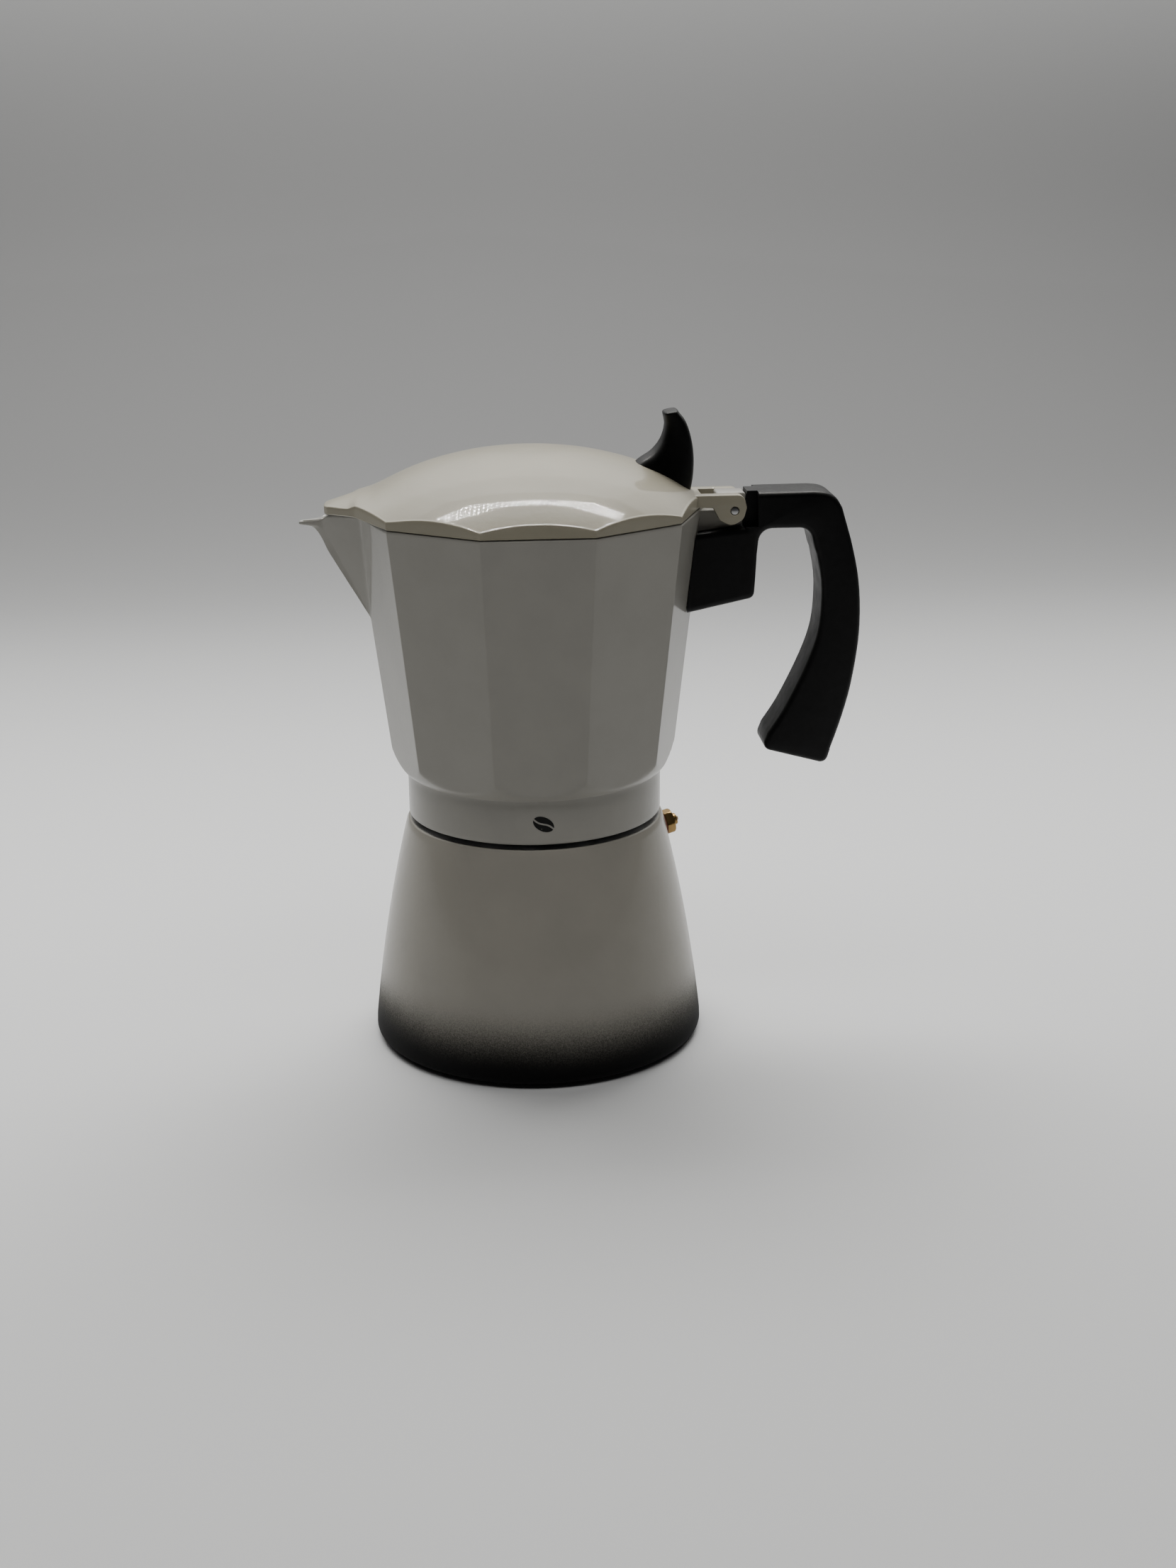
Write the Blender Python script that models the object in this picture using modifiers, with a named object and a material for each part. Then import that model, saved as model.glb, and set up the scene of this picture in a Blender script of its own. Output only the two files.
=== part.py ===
"""Stovetop moka pot: boiler with safety valve, coffee funnel, seal, faceted collector, lid, knob and handle.

Frame: +Z up, origin at the centre of the base's underside, on the pot's axis. The handle points along +X
and the spout along -X. Sizes below are in millimetres; MM turns them into Blender's metres.
"""

import math

import bmesh
import bpy
from mathutils import Matrix, Vector

MM = 0.001
GAP = 0.3                     # clearance left between pieces that touch or are pressed together

# Boiler: a turned pot whose wall swells from the shoulder down to the belly.
BELLY_R = 52.85
BELLY_Z = 5.0
SHOULDER_R = 40.75
SHOULDER_Z = 72.5
BOILER_WALL = 3.0
BOILER_FLOOR_Z = 5.6
FOOT_Z = 1.4                  # underside of the cast foot, which the steel disc stands proud of
FOOT_FILLET = 3.6
DISC_R = 47.0
DISC_THICK = 1.8

# Screwed joint between the boiler's neck and the collector's collar.
NECK_R = 35.4
NECK_BORE_R = 32.4
NECK_TOP_Z = 88.0
COLLAR_R = 40.0
COLLAR_BORE_R = 37.5
COLLAR_BOTTOM_Z = 75.0
COLLAR_TOP_Z = 89.8
THREAD_PITCH = 3.0
THREAD_HEIGHT = 0.9
THREAD_WIDTH = 1.6
CEILING_Z = 93.8              # flat inside the collar that the seal is pressed against

# Collector: a ten-sided jug, narrower at the bottom, with a corner at the spout and one at the handle.
FACETS = 10
RIM_Z = 170.1
RIM_R = 53.67                 # to the corners
FACET_TAPER = 0.1182          # fall of the corner radius for each millimetre down
JUG_FLOOR_Z = 99.0
JUG_BORE_TOP_R = 47.9
JUG_BORE_BOTTOM_R = 40.4
ROUND_R = 8.5                 # radius that turns the facets in towards the collar
COLUMN_R = 5.2
COLUMN_BORE_R = 3.2
COLUMN_TOP_Z = 150.0

# Spout, as half of its outline: each point is x, y, z.
SPOUT_APEX = (-48.9, 0.0, 136.0)
SPOUT_CREASE = (-49.9, -18.1, 171.2)
SPOUT_MOUTH_TOP = (-64.5, -4.7, 170.6)
SPOUT_MOUTH_KEEL = (-65.8, 0.0, 165.5)
SPOUT_TIP_X = -70.1

# Lid: a domed cap trimmed to the jug's outline, so its skirt is scalloped, with a beak over the spout.
LID_Z = RIM_Z + GAP
LID_WALL = 2.2
DOME_TOP_Z = 189.2
DOME_R = 106.6                # sphere radius of the dome
DOME_EDGE_R = 43.5            # where the dome ends and the flared rim begins
BRACKET_TOP_Z = 174.6

# Hinge.
PIN_X = 62.2
PIN_Z = 169.7
PIN_R = 1.2
PIN_HOLE_R = 1.5
LUG_HALF = 4.3
EAR_INNER = 4.6
EAR_OUTER = 8.8

# Handle and knob.
HANDLE_HALF = 8.5
HANDLE_BEVEL = 1.1
TONGUE_HALF = 4.3
TONGUE_END_X = 69.6
HANDLE_SCREW_X = 58.0
KNOB_HALF = 6.5
KNOB_SCREW_X = 41.2

# Safety valve, on an axis square to the boiler's wall.
VALVE_AZIMUTH = 12.0
VALVE_Z = 64.5
VALVE_HOLE_R = 3.2
VALVE_SHANK_R = 2.9
VALVE_HEX = 7.1               # across the flats
VALVE_TRAVEL = 0.8

ROUND = 48                    # sides of the large turned pieces
MEDIUM = 36
SMALL = 20


# ---------------------------------------------------------------- scene and mesh helpers

def clear_scene():
    """Removes every object, so the script starts from nothing."""
    for obj in list(bpy.data.objects):
        bpy.data.objects.remove(obj, do_unlink=True)


def new_collection(name):
    """Makes a collection in the scene."""
    collection = bpy.data.collections.new(name)
    bpy.context.scene.collection.children.link(collection)
    return collection


def finish_mesh(name, bm, collection):
    """Scales a bmesh in millimetres to metres and makes it an object."""
    bmesh.ops.scale(bm, vec=(MM, MM, MM), verts=bm.verts)
    bmesh.ops.recalc_face_normals(bm, faces=bm.faces)
    mesh = bpy.data.meshes.new(name)
    bm.to_mesh(mesh)
    bm.free()
    mesh.shade_smooth()
    mesh.set_sharp_from_angle(angle=math.radians(35))
    obj = bpy.data.objects.new(name, mesh)
    collection.objects.link(obj)
    return obj


def turned(name, profile, collection, sides=ROUND):
    """Turns a profile of (radius, z) about the axis. It runs down the outer side and up the inner one."""
    closed = profile[0][0] > 0 and profile[-1][0] > 0
    mesh = bpy.data.meshes.new(name)
    points = [(r * MM, 0.0, z * MM) for r, z in profile]
    edges = [(i, i + 1) for i in range(len(points) - 1)]
    if closed:
        edges.append((len(points) - 1, 0))
    mesh.from_pydata(points, edges, [])
    obj = bpy.data.objects.new(name, mesh)
    collection.objects.link(obj)
    screw = obj.modifiers.new("Turn", "SCREW")
    screw.axis = "Z"
    screw.angle = math.tau
    screw.steps = sides
    screw.render_steps = sides
    screw.use_merge_vertices = True
    screw.merge_threshold = 0.00001
    screw.use_smooth_shade = True
    return obj


def drum(name, radius, z_low, z_high, collection, sides=SMALL, top_radius=None):
    """Makes an upright cylinder or cone with a corner on +X."""
    bm = bmesh.new()
    top = radius if top_radius is None else top_radius
    bmesh.ops.create_cone(bm, cap_ends=True, segments=sides, radius1=radius, radius2=top,
                          depth=z_high - z_low)
    turn = Matrix.Rotation(math.radians(-90), 4, "Z")
    lift = Matrix.Translation((0, 0, (z_low + z_high) / 2))
    bmesh.ops.transform(bm, matrix=lift @ turn, verts=bm.verts)
    return finish_mesh(name, bm, collection)


def box(name, low, high, collection):
    """Makes a box between two corners."""
    bm = bmesh.new()
    bmesh.ops.create_cube(bm, size=1.0)
    size = [b - a for a, b in zip(low, high)]
    centre = [(a + b) / 2 for a, b in zip(low, high)]
    bmesh.ops.scale(bm, vec=size, verts=bm.verts)
    bmesh.ops.translate(bm, vec=centre, verts=bm.verts)
    return finish_mesh(name, bm, collection)


def mirrored(points):
    """Returns the points together with their mirror images across the plane y = 0."""
    return list(points) + [(x, -y, z) for x, y, z in points if y]


def hull(name, points, collection):
    """Makes the convex solid around a set of points."""
    bm = bmesh.new()
    for point in points:
        bm.verts.new(point)
    bmesh.ops.convex_hull(bm, input=bm.verts)
    spare = [vert for vert in bm.verts if not vert.link_faces]
    bmesh.ops.delete(bm, geom=spare, context="VERTS")
    return finish_mesh(name, bm, collection)


def plate(name, outline, half, collection, bevel=0.0, holes=()):
    """Extrudes a flat outline of (x, z) points by half its thickness each way along Y, as a filled curve."""
    curve = bpy.data.curves.new(name, "CURVE")
    curve.dimensions = "2D"
    curve.fill_mode = "BOTH"
    curve.extrude = (half - bevel) * MM
    curve.bevel_depth = bevel * MM
    curve.offset = -bevel * MM
    curve.bevel_resolution = 0
    for loop in [outline, *holes]:
        spline = curve.splines.new("POLY")
        spline.points.add(len(loop) - 1)
        for point, (x, z) in zip(spline.points, loop):
            point.co = (x * MM, z * MM, 0.0, 1.0)
        spline.use_cyclic_u = True
    guide = bpy.data.objects.new(name, curve)
    collection.objects.link(guide)
    guide.rotation_euler = (math.radians(90), 0, 0)
    return as_mesh(guide, collection)


def as_mesh(guide, collection):
    """Replaces a curve object by the welded mesh of its evaluated shape, in world space."""
    bpy.context.view_layer.update()
    evaluated = guide.evaluated_get(bpy.context.evaluated_depsgraph_get())
    mesh = bpy.data.meshes.new_from_object(evaluated)
    bm = bmesh.new()
    bm.from_mesh(mesh)
    bmesh.ops.remove_doubles(bm, verts=bm.verts, dist=0.00001)
    bmesh.ops.transform(bm, matrix=guide.matrix_world, verts=bm.verts)
    bmesh.ops.recalc_face_normals(bm, faces=bm.faces)
    bm.to_mesh(mesh)
    bm.free()
    mesh.shade_smooth()
    mesh.set_sharp_from_angle(angle=math.radians(35))
    name = guide.name
    curve = guide.data
    bpy.data.objects.remove(guide)
    bpy.data.curves.remove(curve)
    obj = bpy.data.objects.new(name, mesh)
    collection.objects.link(obj)
    return obj


def loft(name, rings, collection, ring_closed=False):
    """Joins rings of as many points into one closed solid, with flat ends unless the rings form a loop."""
    bm = bmesh.new()
    rows = [[bm.verts.new(point) for point in ring] for ring in rings]
    count = len(rows[0])
    pairs = list(zip(rows, rows[1:]))
    if ring_closed:
        pairs.append((rows[-1], rows[0]))
    for lower, upper in pairs:
        for i in range(count):
            j = (i + 1) % count
            bm.faces.new((lower[i], lower[j], upper[j], upper[i]))
    if not ring_closed:
        bm.faces.new(rows[0])
        bm.faces.new(rows[-1])
    return finish_mesh(name, bm, collection)


def boolean(target, tool, operation):
    """Adds a Boolean of the tool to the target and marks the tool as a construction shape."""
    modifier = target.modifiers.new(tool.name, "BOOLEAN")
    modifier.operation = operation
    modifier.solver = "EXACT"
    modifier.object = tool
    tool.hide_render = True
    tool.display_type = "WIRE"


def arc(centre_x, centre_z, radius, start, end, steps):
    """Returns points of a circle from one angle to another, in degrees."""
    angles = [math.radians(start + (end - start) * i / steps) for i in range(steps + 1)]
    return [(centre_x + radius * math.cos(a), centre_z + radius * math.sin(a)) for a in angles]


def smooth_outline(points, steps):
    """Returns a Catmull-Rom curve through the points, with the ends kept."""
    ends = [points[0], *points, points[-1]]
    result = []
    for a, b, c, d in zip(ends, ends[1:], ends[2:], ends[3:]):
        for i in range(steps):
            t = i / steps
            result.append(tuple(
                0.5 * (2 * q + (r - p) * t + (2 * p - 5 * q + 4 * r - s) * t * t
                       + (3 * q - p - 3 * r + s) * t ** 3)
                for p, q, r, s in zip(a, b, c, d)))
    result.append(points[-1])
    return result


def thread_ridge(name, wall_r, crest_r, z_start, turns, collection):
    """Makes a helical ridge that stands from a round wall and sinks into it at both ends."""
    steps = round(turns * 24)
    root_r = wall_r + (0.8 if crest_r < wall_r else -0.8)
    rings = []
    for i in range(steps + 1):
        angle = math.tau * turns * i / steps
        fade = min(1.0, 8 * i / steps - 0.6, 8 * (steps - i) / steps - 0.6)
        crest = wall_r + (crest_r - wall_r) * fade
        z = z_start + THREAD_PITCH * turns * i / steps
        section = [(root_r, -0.5), (crest, -0.22), (crest, 0.22), (root_r, 0.5)]
        rings.append([(r * math.cos(angle), r * math.sin(angle), z + w * THREAD_WIDTH) for r, w in section])
    return loft(name, rings, collection)


def circle(radius, count, centre=(0.0, 0.0)):
    """Returns the corners of a regular polygon."""
    return [(centre[0] + radius * math.cos(math.tau * i / count),
             centre[1] + radius * math.sin(math.tau * i / count)) for i in range(count)]


def perforated_disc(name, radius, z_low, z_high, rings, spacing, hole_r, collection):
    """Makes a flat disc with rings of small holes, six more holes in each ring than in the last."""
    holes = [circle(hole_r, 6)]
    for ring in range(1, rings + 1):
        for centre in circle(spacing * ring, 6 * ring):
            holes.append(circle(hole_r, 6, centre))
    disc = plate(name, circle(radius, MEDIUM), (z_high - z_low) / 2, collection, holes=holes)
    disc.data.transform(Matrix.Rotation(math.radians(-90), 4, "X"))
    disc.data.transform(Matrix.Translation((0, 0, (z_low + z_high) / 2 * MM)))
    return disc


def material(obj, colour, roughness, metallic=0.0):
    """Gives an object its own Principled material."""
    surface = bpy.data.materials.new(obj.name)
    surface.use_nodes = True
    shader = surface.node_tree.nodes["Principled BSDF"]
    shader.inputs["Base Color"].default_value = (*colour, 1.0)
    shader.inputs["Roughness"].default_value = roughness
    shader.inputs["Metallic"].default_value = metallic
    obj.data.materials.append(surface)


# ---------------------------------------------------------------- shared shapes

def boiler_radius(z):
    """Radius of the boiler's outer wall at a height: steep at the belly, sloping in to the shoulder."""
    rise = (z - BELLY_Z) / (SHOULDER_Z - BELLY_Z)
    slope_share = 0.595
    return BELLY_R - (BELLY_R - SHOULDER_R) * (slope_share * rise + (1 - slope_share) * rise ** 2)


def corner_radius(z):
    """Radius of the jug's corners at a height."""
    return RIM_R - (RIM_Z - z) * FACET_TAPER


def dome_profile(offset=0.0):
    """Outer profile of the lid from its top down to the rim: a shallow sphere, then a flared rim."""
    sphere = []
    for i in range(7):
        r = DOME_EDGE_R * i / 6
        z = DOME_TOP_Z - DOME_R + math.sqrt(DOME_R ** 2 - r ** 2)
        sphere.append((r, z + offset))
    flare = [(45.1, 178.5), (46.6, 176.8), (48.2, 175.4), (50.3, 174.2), (53.7, 172.3), (57.0, 170.5)]
    return sphere + [(r, z + offset) for r, z in flare]


def spout_wedge(name, collection, lift=0.0):
    """Solid wedge from the corner of the jug out to the spout's mouth."""
    corner = corner_radius(RIM_Z) - 0.3
    angle = math.radians(180 + 360 / FACETS)
    rim_corner = (corner * math.cos(angle), corner * math.sin(angle), RIM_Z)
    points = [SPOUT_APEX, SPOUT_CREASE, SPOUT_MOUTH_TOP, SPOUT_MOUTH_KEEL, rim_corner,
              (-43.2, -28.6, 160.5), (-40.0, -24.0, RIM_Z), (-41.0, 0.0, 138.0)]
    return hull(name, [(x, y, z + lift) for x, y, z in mirrored(points)], collection)


def jug_block(name, growth, z_low, z_high, collection):
    """Solid ten-sided taper of the jug, grown outward by a clearance."""
    return drum(name, corner_radius(z_low) + growth, z_low, z_high, collection, sides=FACETS,
                top_radius=corner_radius(z_high) + growth)


# ---------------------------------------------------------------- boiler and safety valve

def valve_matrix():
    """Placement of the valve: local +Z is the valve's axis, outward, from the boiler's surface."""
    radius = boiler_radius(VALVE_Z)
    lean = math.atan((boiler_radius(VALVE_Z - 1) - boiler_radius(VALVE_Z + 1)) / 2)
    around = Matrix.Rotation(math.radians(VALVE_AZIMUTH), 4, "Z")
    out = Matrix.Translation((radius * MM, 0, VALVE_Z * MM))
    tilt = Matrix.Rotation(math.radians(90) - lean, 4, "Y")
    return around @ out @ tilt


def make_boiler(parts, tools):
    """Cast aluminium water chamber with its threaded neck and the hole for the valve."""
    wall = [(boiler_radius(z), z) for z in (SHOULDER_Z, 60, 46, 32, 18)]
    inner = [(boiler_radius(z) - BOILER_WALL, z) for z in (14, 32, 50, 66)]
    foot = arc(BELLY_R - FOOT_FILLET, FOOT_Z + FOOT_FILLET, FOOT_FILLET, 0, -90, 4)
    floor = arc(44.8, BOILER_FLOOR_Z + 4, 4, -90, -15, 3)
    recess_z = DISC_THICK + GAP
    profile = ([(0.0, BOILER_FLOOR_Z)] + floor + inner
               + [(NECK_BORE_R, 71.5), (NECK_BORE_R, NECK_TOP_Z), (NECK_R - 0.4, NECK_TOP_Z)]
               + [(NECK_R, NECK_TOP_Z - 0.4), (NECK_R, 73.9), (39.6, 73.9), (40.4, 73.4)]
               + wall + foot + [(DISC_R + GAP, FOOT_Z), (DISC_R + GAP, recess_z), (0.0, recess_z)])
    boiler = turned("boiler", profile, parts)
    ridge = thread_ridge("neck_thread", NECK_R, NECK_R + THREAD_HEIGHT, 77.0, 2.5, tools)
    boolean(boiler, ridge, "UNION")
    hole = drum("valve_hole", VALVE_HOLE_R, -10, 10, tools)
    hole.matrix_world = valve_matrix()
    boolean(boiler, hole, "DIFFERENCE")
    spot_face = drum("valve_spot_face", 5.4, -0.45, 8, tools)
    spot_face.matrix_world = valve_matrix()
    boolean(boiler, spot_face, "DIFFERENCE")
    material(boiler, (0.62, 0.60, 0.56), 0.3)

    disc = turned("base_disc", [(0.0, DISC_THICK), (DISC_R, DISC_THICK), (DISC_R, 0.4), (DISC_R - 0.4, 0.0),
                                (0.0, 0.0)], parts, MEDIUM)
    material(disc, (0.55, 0.55, 0.56), 0.35, 1.0)


def make_valve(parts, tools):
    """Brass safety valve: body, washer, cap, spring and the plunger that lifts off its seat."""
    placed = valve_matrix()
    face = 3.6
    body = drum("valve_body", VALVE_HEX / math.sqrt(3), 0.95, face, parts, sides=6)
    shank = drum("valve_shank", VALVE_SHANK_R, -6.0, 2.0, tools)
    bore = drum("valve_bore", 1.8, -4.2, 5.0, tools)
    seat = drum("valve_seat", 0.9, -8.0, 0.0, tools)
    boolean(body, shank, "UNION")
    boolean(body, bore, "DIFFERENCE")
    boolean(body, seat, "DIFFERENCE")

    washer = turned("valve_washer", [(4.3, 0.65), (4.3, -0.15), (VALVE_HOLE_R, -0.15), (VALVE_HOLE_R, 0.65)],
                    parts, SMALL)
    cap = turned("valve_cap", [(1.4, 5.1), (1.8, 4.9), (1.95, 4.6), (1.95, face + GAP), (1.5, face + GAP),
                               (1.5, 3.0), (1.05, 3.0), (1.05, 5.1)], parts, SMALL)
    plunger = turned("valve_plunger", [(0.0, 5.6), (0.5, 5.6), (0.7, 5.4), (0.7, -2.6), (1.4, -2.6),
                                       (1.4, -3.3), (0.5, -3.9), (0.0, -3.9)], parts, SMALL)
    spring = make_spring("valve_spring", 1.2, 0.2, -1.3, 1.9, 4, parts)
    for piece in (body, shank, bore, seat, washer, cap, plunger, spring):
        piece.matrix_world = placed
    for piece in (body, cap, plunger):
        material(piece, (0.55, 0.36, 0.10), 0.35, 1.0)
    material(washer, (0.25, 0.08, 0.05), 0.7)
    material(spring, (0.6, 0.6, 0.6), 0.3, 1.0)


def make_spring(name, radius, wire, z_low, z_high, turns, collection):
    """Coil of round wire along its local Z."""
    steps = turns * 9
    rings = []
    for i in range(steps + 1):
        angle = math.tau * turns * i / steps
        z = z_low + (z_high - z_low) * i / steps
        rings.append([((radius + wire * math.cos(a)) * math.cos(angle),
                       (radius + wire * math.cos(a)) * math.sin(angle), z + wire * math.sin(a))
                      for a in [math.tau * k / 5 for k in range(5)]])
    return loft(name, rings, collection)


# ---------------------------------------------------------------- funnel and seal

def make_funnel(parts):
    """Spun aluminium coffee funnel that hangs from its rim in the boiler's neck, and its sieve."""
    rim_z = NECK_TOP_Z + GAP
    profile = [(34.4, rim_z + 1.0), (34.4, rim_z), (31.6, rim_z), (31.6, 68.0), (30.4, 66.4), (7.2, 60.4),
               (5.4, 57.5), (5.2, 9.0), (4.2, 9.0), (4.4, 58.0), (6.4, 61.4), (29.6, 67.4), (30.6, 68.6),
               (30.6, rim_z + 1.0)]
    funnel = turned("funnel", profile, parts, MEDIUM)
    material(funnel, (0.75, 0.75, 0.76), 0.35, 1.0)
    screen = perforated_disc("funnel_screen", 30.2, 69.0, 69.7, 3, 7.4, 1.3, parts)
    material(screen, (0.75, 0.75, 0.76), 0.35, 1.0)


def make_seal(parts):
    """Silicone ring and the perforated plate that it holds against the collar's ceiling."""
    gasket = turned("gasket", [(33.4, 92.3), (33.4, 89.7), (33.0, 89.6), (27.6, 89.6), (27.6, 92.4), (33.0, 92.4)],
                    parts, MEDIUM)
    material(gasket, (0.85, 0.84, 0.80), 0.6)
    filter_plate = perforated_disc("filter_plate", 30.6, 92.7, 93.5, 3, 7.0, 1.2, parts)
    material(filter_plate, (0.75, 0.75, 0.76), 0.35, 1.0)


# ---------------------------------------------------------------- collector

def jug_envelope(tools):
    """Turned solid that rounds the facets in to the collar at the bottom."""
    lean = math.degrees(math.atan(FACET_TAPER))
    top_r = corner_radius(96.5)
    centre = (top_r - ROUND_R * math.cos(math.radians(lean)), 96.5 + ROUND_R * math.sin(math.radians(lean)))
    rounding = arc(*centre, ROUND_R, -lean, -60, 5)
    profile = ([(0.0, 180.0), (62.0, 180.0)] + rounding
               + [(COLLAR_R, COLLAR_TOP_Z), (COLLAR_R, COLLAR_BOTTOM_Z + 0.5), (COLLAR_R - 0.5, COLLAR_BOTTOM_Z)]
               + [(0.0, COLLAR_BOTTOM_Z)])
    return turned("jug_envelope", profile, tools)


def spout_lip(tools):
    """Down-turned lip at the spout's tip."""
    tip = SPOUT_TIP_X
    points = [(tip, -0.9, 167.4), (tip + 0.5, -1.6, 168.1), (-67.6, -3.4, 169.4), (-64.3, -4.9, 170.6),
              (-63.5, -4.2, 168.0), (-65.4, -0.4, 165.2), (tip + 0.9, -0.8, 166.7)]
    return hull("spout_lip", mirrored(points), tools)


def spout_channel(tools):
    """Hollow of the spout, open to the jug and at the top."""
    points = [(-44.0, -4.0, 144.0), (-46.5, -19.5, 176.0), (-62.6, -2.8, 176.0), (-62.6, -2.8, 169.0),
              (-46.0, -17.0, 165.0), (-60.4, -0.7, 161.5), (-50.0, -1.2, 143.0), (-40.0, -14.0, 170.0),
              (-40.0, -14.0, 155.0), (-40.0, -4.0, 144.0)]
    return hull("spout_channel", mirrored(points), tools)


def lip_groove(tools):
    """Shallow groove that carries the pour over the lip."""
    points = [(-60.0, -2.6, 176.0), (-60.0, -2.6, 167.0), (-66.4, -2.0, 168.2), (-72.0, -0.7, 167.5),
              (-72.0, -0.9, 176.0), (-67.4, -2.3, 176.0)]
    return hull("lip_groove", mirrored(points), tools)


def make_collector(parts, tools):
    """Cast ten-sided jug with its spout, threaded collar and hinge lug, and the column in its floor."""
    collector = jug_block("collector", 0.0, COLLAR_BOTTOM_Z, RIM_Z, parts)
    boolean(collector, jug_envelope(tools), "INTERSECT")
    boolean(collector, spout_wedge("spout_wedge", tools), "UNION")
    boolean(collector, spout_lip(tools), "UNION")
    lug = plate("hinge_lug", [(49.6, 162.8), (65.0, 164.6), (66.3, BRACKET_TOP_Z), (56.4, BRACKET_TOP_Z),
                              (56.4, 169.6), (49.6, 169.6)], LUG_HALF, tools)
    boolean(collector, lug, "UNION")
    bowl = turned("jug_bowl", [(0.0, 180.0), (JUG_BORE_TOP_R, 180.0), (JUG_BORE_TOP_R, RIM_Z)]
                  + arc(JUG_BORE_BOTTOM_R - 4, JUG_FLOOR_Z + 4, 4, 0, -90, 3) + [(0.0, JUG_FLOOR_Z)], tools)
    boolean(collector, bowl, "DIFFERENCE")
    boolean(collector, spout_channel(tools), "DIFFERENCE")
    boolean(collector, lip_groove(tools), "DIFFERENCE")
    socket = turned("collar_socket", [(0.0, 96.0), (7.0, 96.0), (26.5, 94.4), (26.5, CEILING_Z),
                                      (COLLAR_BORE_R, CEILING_Z), (COLLAR_BORE_R, 76.0), (38.5, 74.9),
                                      (38.5, 70.0), (0.0, 70.0)], tools)
    boolean(collector, socket, "DIFFERENCE")
    ridge = thread_ridge("collar_thread", COLLAR_BORE_R, COLLAR_BORE_R - THREAD_HEIGHT, 78.0, 2.0, tools)
    boolean(collector, ridge, "UNION")
    boolean(collector, drum("column_hole", COLUMN_R + GAP, 90, 104, tools), "DIFFERENCE")
    boolean(collector, pin_hole("lug_pin_hole", tools), "DIFFERENCE")
    boolean(collector, upright_hole("lug_screw_hole", 2.2, 160, 167.6, tools), "DIFFERENCE")
    material(collector, (0.62, 0.60, 0.56), 0.3)

    column = turned("riser_column", [(0.0, COLUMN_TOP_Z), (3.2, COLUMN_TOP_Z), (4.4, COLUMN_TOP_Z - 1.2),
                                     (COLUMN_R, 99.5), (COLUMN_R, 94.6), (COLUMN_BORE_R, 94.6),
                                     (COLUMN_BORE_R, COLUMN_TOP_Z - 2.2), (0.0, COLUMN_TOP_Z - 2.2)],
                    parts, SMALL)
    slot = box("column_slot", (-1.6, -8, COLUMN_TOP_Z - 8), (1.6, 8, COLUMN_TOP_Z - 3), tools)
    boolean(column, slot, "DIFFERENCE")
    material(column, (0.7, 0.7, 0.7), 0.45, 1.0)


def pin_hole(name, tools):
    """Cross hole for the hinge pin."""
    hole = drum(name, PIN_HOLE_R, -20, 20, tools, sides=16)
    hole.matrix_world = pin_matrix()
    return hole


def pin_matrix():
    """Placement of the hinge axis: local +Z lies along Y through the pin."""
    return Matrix.Translation((PIN_X * MM, 0, PIN_Z * MM)) @ Matrix.Rotation(math.radians(90), 4, "X")


def upright_hole(name, radius, z_low, z_high, tools):
    """Upright hole on the handle screw's axis."""
    hole = drum(name, radius, z_low, z_high, tools, sides=16)
    hole.location.x = HANDLE_SCREW_X * MM
    return hole


# ---------------------------------------------------------------- lid, hinge and knob

def lid_outline():
    """Corners of the jug's rim seen from above, with the beak in place of the corner at the spout."""
    corners = [(x, y) for x, y in circle(RIM_R, FACETS) if x > -RIM_R + 1]
    corners.sort(key=lambda point: math.atan2(point[1], point[0]))
    beak = [(-52.8, 15.4), (-61.7, 5.2), (-62.5, 3.4)]
    return corners + beak + [(x, -y) for x, y in reversed(beak)]


def upright_prism(name, outline, z_low, z_high, collection):
    """Makes an upright prism from an outline of (x, y) points."""
    rings = [[(x, y, z) for x, y in outline] for z in (z_low, z_high)]
    return loft(name, rings, collection)


def beak(tools):
    """Crowned wedge that carries the lid out over the spout."""
    points = [(-62.6, 0.0, 172.7), (-61.7, -5.2, 172.2), (-52.8, -15.4, 175.1), (-43.4, -31.0, 172.2),
              (-49.0, 0.0, 177.4), (-43.5, 0.0, 179.6), (-36.0, 0.0, 182.0), (-38.0, -14.0, 180.0),
              (-62.6, 0.0, LID_Z), (-61.7, -5.2, LID_Z), (-52.8, -15.4, LID_Z), (-43.4, -31.0, LID_Z),
              (-38.0, -14.0, 175.0)]
    return hull("lid_beak", mirrored(points), tools)


def ear_outline():
    """Side outline of a hinge ear and the arm that carries it."""
    low = arc(60.8, 169.8, 3.9, 200, 350, 7)
    top = arc(62.2, 172.0, 2.6, 0, 90, 4)
    return [(47.5, BRACKET_TOP_Z), (47.5, 170.9), (56.3, 170.9)] + low + top


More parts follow.
